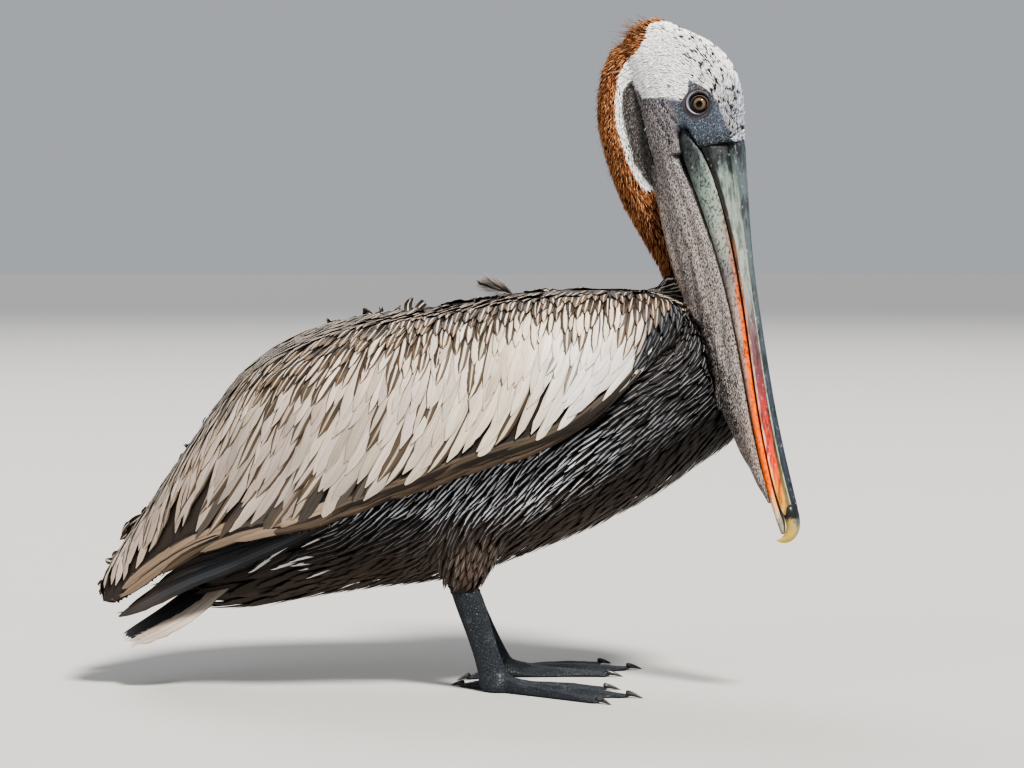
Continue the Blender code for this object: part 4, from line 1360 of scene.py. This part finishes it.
def coverBody():
    spots, normals = seeded(bodyGuide.data, 2, 0.0012)
    neckPart = ((spots[:, 2] > 0.302) & (whichWhole(spots) == "neck")) | (spots[:, 2] > 0.33)
    spots, normals = pickRows(~neckPart, spots, normals)
    x, y, z = spots.T
    base = ease(0.235, 0.295, z) * ease(0.14, 0.19, x)
    onThigh = ease(0.125, 0.1, z) * ease(0.06, 0.045, np.abs(x - 0.01)) * (np.abs(y) > 0.02)
    back = ease(0.4, 0.8, normals[:, 2]) * ease(0.2, 0.25, z)
    rump = ease(-0.08, -0.17, x)
    seen = body["seen"] * (1 - 0.45 * base) * (1 - 0.35 * onThigh) * (1 + 0.4 * back) * (1 + 0.8 * rump)
    wide = body["wide"] * (1 - 0.25 * base) * (1 + 0.5 * back) * (1 + 0.7 * rump)
    kept = throwTips(spots, bodyRun(spots, normals), normals, seen * mm, wide * mm, 0.84)
    spots, normals, seen, wide = pickRows(kept, spots, normals, seen, wide)
    spots, normals, seen, wide = pickRows(~underWing(spots), spots, normals, seen, wide)
    count, rows = len(spots), body["rows"]
    size = dice.uniform(0.85, 1.2, count)
    length = seen * 2.1 * size * mm
    spines, ups = layBack(bodyTree, spots, bodyRun, length, rows, np.full(count, body["root"] * mm),
                          dice.uniform(0.2, 1.3, count) * mm)
    full = wholeOnes(spines, length, 0.2)
    spots, normals, wide, size, length = pickRows(full, spots, normals, wide, size, length)
    spines, ups = pickRows(full, spines, ups)
    count = len(spots)
    share, halves = shapeHalves(leafShape, rows, wide * 0.6 * size * mm, 0.15)
    spines = swayed(spines, ups, share, dice.normal(0, 0.06, count), length)
    x, y, z = spots.T
    ground = bodyTint(spots) * dice.uniform(0.75, 1.3, count)[:, None]
    under = ease(0.122, 0.096, z - 0.6 * np.maximum(x - 0.02, 0))
    under *= 1 - 0.85 * ease(0.06, 0.04, np.abs(x - 0.01)) * (np.abs(y) > 0.02)
    middle = ease(0.12, 0.14, z) * ease(0.235, 0.2, z)
    streak = 0.155 * (1 - 0.9 * under) * dice.uniform(0.75, 1.3, count)
    streak = streak + 0.15 * middle * (1 - under)
    streak = np.where(dice.random(count) < 0.1, streak * 0.3, streak)
    vent = ease(-0.08, -0.13, x) * ease(0.08, 0.105, z) * ease(0.17, 0.15, z)
    ventPatch = (np.abs(x + 0.148) < 0.04) & (np.abs(z - 0.108) < 0.018) & (np.abs(y) > 0.025)
    whiteTipped = (dice.random(count) < 0.5) & ventPatch
    onBack = ease(0.285, 0.3, z) * ease(0.3, 0.6, normals[:, 2])
    streak = np.where(whiteTipped, 0.3, streak * (1 + 0.5 * onBack) + 0.06 * vent)
    mark = mixAll(tints.silver, (tints.cream, np.clip(onBack * 0.9 + 0.4 * vent, 0, 1)),
                  (tints.worn * 0.8, ease(0.125, 0.1, z) * 0.5))
    # painted shade: the silver streaks are dimmer low on the body and on the breast
    bright = (1 - ease(0.16, 0.1, z) * 0.35) * (1 + 0.9 * middle * ease(0.14, 0.08, x))
    mark = mark * (dice.uniform(0.45, 0.95, count) * bright * (1 - 0.35 * ease(0.06, 0.14, x)))[:, None]
    mark = np.where(whiteTipped[:, None], tints.white * 0.8, mark)
    form = stack(streak, 0.45 * dice.random(count) * onBack, dice.random(count))
    bakeAt = stack((x + 0.23) / 0.5, np.arctan2(y, z - 0.19) / (2 * math.pi) + 0.5) * 0.97 + 0.015
    for side, chosen in (("right", y < 0), ("left", y >= 0)):
        addCoat("coat_body_" + side, "brown_plumage", bodyVane, *pickRows(chosen, spines, ups),
                pickRows(chosen, *halves), wide[chosen] * 0.09 * mm, share,
                *pickRows(chosen, ground, mark, form, bakeAt))


coverBody()


# head and neck: short dense plush
headCoat = {
    "rows": 3, "specks": 440,
    "line": ((-110, -35), (-100, -8), (-85, 8), (-60, 18), (-30, 22), (0, 18)),      # along, above in mm
}


def coverHead():
    chosen = (np.abs(outer[:, 2] - 0.4) < 0.14) & (outer[:, 0] > 0.095) & (outer[:, 0] < 0.262)
    spots, normals = pickRows(chosen, outer, outerNormals)
    nodes = whichNode(spots)
    bare, velvet, chestnut = headShares(spots, nodes)
    thinned = 0.45 * ease(0.44, 0.36, spots[:, 2]) * chestnut
    keep = oneOf(nodes, "head", "neck") & (bare < 0.5) & (dice.random(len(spots)) > thinned)
    spots, normals, velvet, chestnut = pickRows(keep, spots, normals, velvet, chestnut)
    along, above, aside = faceSizes(spots).T
    count, rows = len(spots), headCoat["rows"]
    spots = spots + dice.normal(0, 0.0003, (count, 3))
    runs = headRun(spots, normals)
    small = ease(-45, -10, along) * (above > -20)
    length = np.where(chestnut, 5.6, 4.0) * (1 - 0.45 * velvet) * (1 - 0.35 * small)
    length = length * dice.uniform(0.8, 1.25, count)
    half = np.where(chestnut, 0.6, 0.52) * (1 - 0.3 * velvet) * dice.uniform(0.8, 1.2, count)
    tipLift = np.where(chestnut, dice.uniform(-0.3, 1.5, count), dice.uniform(-0.4, 0.4, count))
    tipLift = np.where(velvet > 0.5, dice.uniform(0.5, 1.1, count), tipLift)
    rootDepth = np.where(chestnut, 3.4, 1.9) * (1 - 0.6 * velvet)
    share, halves = shapeHalves(plushShape, rows, half * mm)
    sway = unit(runs + np.cross(runs, normals) * dice.normal(0, 0.16, count)[:, None])
    rise = -rootDepth[:, None] + (rootDepth + tipLift)[:, None] * np.array((0, 0.62, 1.0))
    base = (spots - normals * skin["grow"])[:, None, :]
    spines = base + sway[:, None, :] * (share[None, :, None] - 0.35) * (length * mm)[:, None, None]
    spines = spines + normals[:, None, :] * rise[..., None] * mm
    ups = np.repeat(normals[:, None, :], rows, axis=1)
    # colours: white crown with dark specks, rusty nape, speckled velvet behind the cheek
    dark = ease(0.42, 0.3, spots[:, 2]) * 0.55
    rust = mix(tints.chestnut, tints.rust, dice.random(count) ** 1.6)
    rust = mix(rust, tints.umber, np.clip((dice.random(count) < 0.16) + dark * dice.random(count), 0, 1))
    specks = stack(dice.uniform(-104, 0, headCoat["specks"]), dice.uniform(-40, 24, headCoat["specks"]))
    overCrown = specks[:, 1] - pointwise(headCoat["line"], specks[:, 0])
    specks = specks[dice.random(len(specks)) < 0.05 + 0.95 * ease(-34, -6, overCrown)]
    speckSize = dice.uniform(0.35, 1.0, len(specks))
    isSpeck = dice.random(count) < 0.002 + 0.045 * ease(-26, -2, above - pointwise(headCoat["line"], along))
    for speck, flow, size in zip(specks, lieAt(specks, headLie), speckSize):
        gapAlong, gapAbove = along - speck[0], above - speck[1]
        lengthways = gapAlong * flow[0] + gapAbove * flow[1]
        sideways = -gapAlong * flow[1] + gapAbove * flow[0]
        isSpeck |= (lengthways / (1.5 * size)) ** 2 + (sideways / (1.0 * size)) ** 2 < 1
    greyShare = ease(-55, -8, along + 1.2 * (above - 10)) * ease(0, 14, above) * dice.uniform(0.2, 1.2, count)
    white = mix(tints.white, tints.blueGrey, np.clip(greyShare, 0, 1))
    white = white * dice.uniform(0.95, 1.0, count)[:, None]
    tint = np.where(chestnut[:, None], rust, np.where(isSpeck[:, None], tints.speck, white))
    velvetTint = tints.velvet * dice.choice((0.45, 1.0, 2.8), count, p=(0.25, 0.35, 0.4))[:, None]
    # painted shade along the velvet's front edge, where it meets the bare skin
    frontGap = pointwise(markings["velvetFront"], along) - above
    tint = mix(tint, mix(velvetTint, tints.fold * 0.3, ease(2.6, 1.4, frontGap)), velvet)
    form = plainForm(count)
    turn = np.arctan2(aside, -(above + 30)) / (2 * math.pi) + 0.5
    bakeAt = stack((along + 118) / 300, turn) * 0.97 + 0.015
    low = spots[:, 2] < 0.445
    for name, chosen, slotName in (("coat_neck", chestnut & low, "chestnut_plush"),
                                   ("coat_nape", chestnut & ~low, "chestnut_plush"),
                                   ("coat_head_right", ~chestnut & (aside > 0), "white_plush"),
                                   ("coat_head_left", ~chestnut & (aside <= 0), "white_plush")):
        addCoat(name, slotName, plush, *pickRows(chosen, spines, ups, halves, half * 0.8 * mm), share,
                *pickRows(chosen, tint, tint, form, bakeAt))


coverHead()


# the crest and the loose hairs of the hindneck
crest = {"hairs": 250, "rows": 4, "centre": 0.522, "highest": 0.546}


def addCrest():
    chestnut = headZones(outer)[2]
    napeTop = chestnut & (outer[:, 2] > 0.4) & (np.abs(outer[:, 1]) < 0.019) & (outerNormals[:, 0] < -0.25)
    spots = np.flatnonzero(napeTop)
    weight = 0.12 + 0.9 * bump(outer[spots, 2], crest["centre"], 0.01)
    spots = dice.choice(spots, crest["hairs"], replace=False, p=weight / weight.sum())
    base, normals = outer[spots], outerNormals[spots]
    count = len(spots)
    top = bump(base[:, 2], crest["centre"], 0.012)
    length = (4.5 + 11.0 * top * dice.random(count)) * dice.uniform(0.8, 1.3, count)
    runs = headRun(base, normals)
    heading = unit(normals * (0.85 + 0.3 * top)[:, None] + runs * dice.uniform(0.2, 1.0, count)[:, None]
                   + np.array((0, 0, 0.45)) * top[:, None] + dice.normal(0, 0.12, (count, 3)))
    rows = crest["rows"]
    share = np.linspace(0, 1, rows)
    onward = (share[None, :, None] - 0.25) * (length * mm)[:, None, None]
    spines = base[:, None, :] + heading[:, None, :] * onward
    spines = spines + runs[:, None, :] * (share ** 2)[None, :, None] * (length * 0.25 * mm)[:, None, None]
    spines[..., 2] = np.minimum(spines[..., 2], crest["highest"])
    ups = np.repeat(unit(np.cross(heading, np.array((0.2, 1.0, 0.1))))[:, None, :], rows, axis=1)
    halves = 0.42 * mm * np.array((1.0, 0.85, 0.55, 0.12))[None, :] * np.ones((count, 1))
    shade = dice.random(count)
    tint = mix(tints.umber * 0.8, tints.rust, ease(0.3, 0.7, shade))
    form = stack(np.zeros(count), np.zeros(count), shade)
    along, _, aside = faceSizes(base).T
    bakeAt = stack((along + 118) / 150, aside / 50 + 0.5) * 0.9 + 0.05
    addCoat("crest", "chestnut_plush", plush, spines, ups, halves, np.full(count, 0.25 * mm), share, tint,
            tint, form, bakeAt)


addCrest()


# long quills: each a wide vane with a shaft, laid out strip by strip in its bake map
def quillPiece(name, slotName, quills, rows=26, columns=7):
    vanes = []
    share = np.linspace(0, 1, rows)
    outline = np.interp(share, (0, 0.08, 0.3, 0.8, 0.93, 1.0), (0.25, 0.6, 0.95, 1.0, 0.72, 0.12))
    thin = 0.5 * mm * (1 - share ** 1.5) + 0.05 * mm
    for quill in quills:
        path = np.array(quill["path"], dtype=float)
        steps = np.concatenate([[0], np.cumsum(np.linalg.norm(np.diff(path, axis=0), axis=1))])
        line = stack(*(np.interp(share * steps[-1], steps, column) for column in path.T))
        for _ in range(3):
            line[1:-1] = (line[1:-1] * 2 + line[2:] + line[:-2]) / 4
        up, half, mark = unit(np.array(quill["up"], dtype=float)), quill["half"], quill["mark"]
        left, right = (outline * half * (1 - quill["fray"] * np.clip(dice.normal(0, 1, rows), 0, 1.2)
                                         * (share > 0.3)) for _ in range(2))
        form = (quill["streak"], quill["tip"], dice.random())
        vanes.append((line, up, left, right, quill["ground"], mark, form, quill["crown"]))
        for _ in range(quill["barbs"]):     # split barbs past the worn tip
            start = int(rows * dice.uniform(0.8, 0.96))
            onward = unit(line[-1] - line[-4])
            sideways = unit(np.cross(onward, quill["up"]))
            reach = dice.uniform(0.45, 1.0) * half * 0.9 + 3 * mm
            sway = dice.uniform(-0.9, 0.9)
            foot = line[start] + (line[start] - line[start - 1]) * 0.2
            foot = foot + sideways * sway * half * 0.75 * outline[start]
            barb = foot + (onward + sideways * sway * 0.35) * reach * share[:, None]
            vanes.append((barb, up, thin, thin, mark * 0.75, mark, (0.6, 0.5, dice.random()), 0.15 * mm))
    lines, ups, left, right, tint, mark, form, crowned = (np.array(column) for column in zip(*vanes))
    perRow = math.ceil(math.sqrt(len(lines) * 3))
    number, rowCount = np.arange(len(lines)), math.ceil(len(lines) / perRow)
    bakeAt = (stack(number % perRow, number // perRow) + 0.5) / np.array((perRow, rowCount)) * 0.98 + 0.01
    return addCoat(name, slotName, quillVane, lines, np.repeat(ups[:, None, :], rows, axis=1), (left, right),
                   crowned, share, tint, mark, form, bakeAt, columns, (0.8 / perRow, 0.85 / rowCount))


# tail: a low roof of dark quills, one worn pale feather along its right edge
tail = {
    "stations": ((-0.15, 117, 13, 24), (-0.158, 113, 15, 27), (-0.18, 99, 23, 34), (-0.205, 80, 27, 40),
                 (-0.232, 59, 21, 43), (-0.252, 45.5, 13, 38), (-0.263, 38.5, 6, 26), (-0.268, 35.5, 2, 9)),
    "quills": 16, "root": -0.14, "end": -0.262,
    "worn": {"half": 6.5 * mm, "ground": tints.pale * 0.45, "mark": tints.pale * 1.15, "streak": 0.8,
             "tip": 0.5, "fray": 0.14, "barbs": 26},
    "dark": {"half": 7.5 * mm, "ground": tints.blueBlack, "mark": tints.slate * 1.1, "streak": 0.22,
             "tip": 0.15, "fray": 0.1, "barbs": 3},
}


def tailPlace(x, share, lift):
    ridge, drop, half = readTable(tail["stations"], x)
    return (x, share * half * mm, (ridge - drop * abs(share) ** 1.6 + lift) * mm)


def buildTail():
    quills = []
    for number in range(tail["quills"]):
        share = 2 * number / (tail["quills"] - 1) - 1
        root, end = tail["root"], tail["end"] + 0.012 * abs(share) ** 2 + dice.uniform(-0.001, 0.002)
        path = [tailPlace(root + (end - root) * t, share * 0.86, 1.8 - 1.6 * abs(share) - 2.4 * (1 - t))
                for t in np.linspace(0, 1, 9)]
        kind = "worn" if number < 2 else "dark"
        quills.append({"path": path, "up": (-0.35, share * 0.75, 0.75), "crown": 0.8 * mm, **tail[kind]})
    piece = quillPiece("coat_tail", "slate_quills", quills)
    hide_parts("tail")


buildTail()

# primaries: the dark wing tips that show under each folded wing
primary = {
    "stations": ((-0.09, 138, 74), (-0.12, 126, 71), (-0.16, 113, 61), (-0.205, 99, 49), (-0.236, 81, 38),
                 (-0.262, 68, 29)),      # x, then height and distance from the middle in mm
    "quills": 5, "half": 6.0, "root": -0.09, "end": -0.262, "apart": 0.02,
}


def buildPrimaries(side, sign):
    quills = []
    for number in range(primary["quills"]):
        root, end = primary["root"], primary["end"] + primary["apart"] * (primary["quills"] - 1 - number)
        path = []
        for x in np.linspace(root, end, 9):
            z, y = readTable(primary["stations"], x)
            spreadOut = (number - 2) * 5.2 * ease(root, -0.2, x)
            path.append((x, sign * (y - 2.4 + number * 1.3) * mm, (z - spreadOut) * mm))
        quills.append({"path": path, "up": (-0.15, sign, -0.1), "half": primary["half"] * mm,
                       "ground": tints.slate * 0.6, "mark": tints.slate * (1.4 + 0.5 * (number % 2)),
                       "streak": 0.35, "tip": 0.3, "fray": 0.1, "barbs": 4, "crown": 0.5 * mm})
    piece = quillPiece("coat_primaries_" + side, "slate_quills", quills)
    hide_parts("primaries_" + side)


for side, sign in sides.items():
    buildPrimaries(side, sign)

# long secondaries along each wing's lower edge: olive outer vanes, dark below
secondary = {
    "starts": np.arange(0.15, -0.151, -0.03), "reach": 0.112, "end": -0.262,
    "rows": ((9.0, 6.5, -1.3), (2.6, 4.0, -0.4)),      # mm over the edge, half the width, and lift
}


def buildSecondaries(side, sign):
    quills = []
    for over, half, lift in secondary["rows"]:
        for begin in secondary["starts"]:
            path = []
            wander, begin = dice.uniform(-1.5, 1.5), begin + dice.uniform(-0.008, 0.008)
            for share in np.linspace(0, 1, 11):
                x = max(begin - secondary["reach"] * share, secondary["end"] - 0.004 * share)
                y, z = readTable(wingEdges[side], x)
                high = z + (over + 3.0 * (1 - share) + wander * share - 2.0 * ease(0.6, 1.0, share)) * mm
                hit = wholeTree.ray_cast(Vector((x, sign * 0.2, high)), Vector((0, -sign, 0)))[0]
                out = abs(hit.y) if hit is not None else y
                path.append((x, sign * (out + (lift + 0.7 * share) * mm), high))
            worn = dice.uniform(0.0, 0.3) + 0.6 * ease(0.05, -0.03, begin) * (dice.random() < 0.3)
            quills.append({"path": path, "up": (-0.1, sign, -0.15 if over < 5 else 0.1), "half": half * mm,
                           "ground": tints.darkBrown * dice.uniform(0.6, 1.1),
                           "mark": mix(tints.olive * 0.7, tints.worn, min(worn, 1.0)),
                           "streak": dice.uniform(0.25, 0.4) + 0.35 * (worn > 0.4), "tip": 0.3,
                           "fray": 0.06, "barbs": 2, "crown": 0.5 * mm})
    quillPiece("coat_secondaries_" + side, "slate_quills", quills)


for side, sign in sides.items():
    buildSecondaries(side, sign)


# one loose grey down feather caught on the back
down = {"foot": (0.05, -0.024, 0.3135), "shaft": (-0.93, -0.05, 0.26), "long": 0.028, "barbs": 260,
        "reach": 15.0, "perRow": 17}


def addDown():
    foot, shaft = np.array(down["foot"]), np.array(down["shaft"])
    rows = 5
    share = np.linspace(0, 1, rows)
    spines, ups = [], []
    for number in range(down["barbs"]):
        place = number / (down["barbs"] - 1)
        start = foot + shaft * place * down["long"]
        rise = 0.8 if number % 3 else -0.35
        loose = np.array((dice.normal(0, 0.2), dice.normal(0, 0.3), rise + dice.normal(0, 0.2)))
        heading = unit(shaft * 0.6 + loose)
        reach = down["reach"] * (0.35 + 0.65 * math.sin(math.pi * min(place + 0.22, 1.0)))
        reach = reach * dice.uniform(0.6, 1.1) * mm
        line = start + heading * (share * reach)[:, None]
        line = line + shaft * (share ** 2 * reach * 0.35)[:, None]
        spines.append(line)
        ups.append(np.tile(unit(np.cross(heading, (0.1, 1.0, 0.2))), (rows, 1)))
    count = len(spines)
    halves = 0.62 * mm * np.array((1.0, 0.9, 0.75, 0.5, 0.15))[None, :] * np.ones((count, 1))
    tint = tints.pale * dice.uniform(0.3, 0.85, count)[:, None]
    perRow, number = down["perRow"], np.arange(count)
    bakeAt = stack((number % perRow + 0.5) / perRow, (number // perRow + 0.5) / perRow)
    addCoat("loose_down", "silver_coverts", plush, np.array(spines), np.array(ups), halves,
            np.full(count, 0.1 * mm), share, tint, tint, plainForm(count), bakeAt)


addDown()
print("coat laid:", sum(coatTriangles), "triangles")


# guides have done their work
for guide in [bodyGuide, wholeGuide, *wingGuides.values()]:
    bpy.data.objects.remove(guide)

# plain pale floor that turns darker far off, soft studio light
studio = {"floor": (0.48, 0.475, 0.46), "far": (0.158, 0.162, 0.172), "size": 80.0,
          "sky": (0.8, 0.83, 0.88, 1.0), "skyPower": 0.42}


def buildFloor():
    deselect()
    bpy.ops.mesh.primitive_plane_add(size=studio["size"], location=(0, 0, 0))
    floor = bpy.context.object
    floor.name = "studio_floor"
    material, tree = newMaterial("Studio floor")
    where = objectPlace(tree)
    colour = blend(noise(where, 3.0, 4.0), [0.97 * value for value in studio["floor"]], studio["floor"])
    away = addNode(tree, "VectorMath", {0: where}, "Value", operation="LENGTH")
    colour = blend(spread(away, 0.5, 16.0), colour, studio["far"])
    floor.data.materials.append(finish(material, colour, 0.85))


buildFloor()

lights = {                            # place it shines from, softness in degrees, strength, colour
    "key": ((0.75, -1.35, 2.05), 12.0, 5.1, (1.0, 0.955, 0.89)),
    "fill": ((-1.6, -1.4, 0.9), 40.0, 0.4, (0.88, 0.94, 1.0)),
    "rim": ((-0.6, 1.6, 1.6), 30.0, 0.9, (1.0, 0.98, 0.95)),
}
for name, (place, softness, power, colour) in lights.items():
    lamp = bpy.data.lights.new(name, "SUN")
    lamp.angle = math.radians(softness)
    lamp.energy = power
    lamp.color = colour
    holder = bpy.data.objects.new(name, lamp)
    holder.location = place
    holder.rotation_euler = (-Vector(place)).to_track_quat("-Z", "Y").to_euler()
    bpy.context.scene.collection.objects.link(holder)

world = bpy.data.worlds.new("Studio")
world.use_nodes = True
sky = world.node_tree.nodes["Background"].inputs
sky["Color"].default_value = studio["sky"]
sky["Strength"].default_value = studio["skyPower"]
bpy.context.scene.world = world
bpy.context.scene.view_settings.look = "AgX - High Contrast"

view = {"place": (0.0496, -2.4, 0.348), "lens": 105.47, "sensor": 36.0, "pitch": 87.44}
camera = bpy.data.cameras.new("camera")
camera.lens = view["lens"]
camera.sensor_width = view["sensor"]
camera.clip_start = 0.05
holder = bpy.data.objects.new("camera", camera)
holder.location = view["place"]
holder.rotation_euler = (math.radians(view["pitch"]), 0, 0)
bpy.context.scene.collection.objects.link(holder)
bpy.context.scene.camera = holder

print("scene ready")
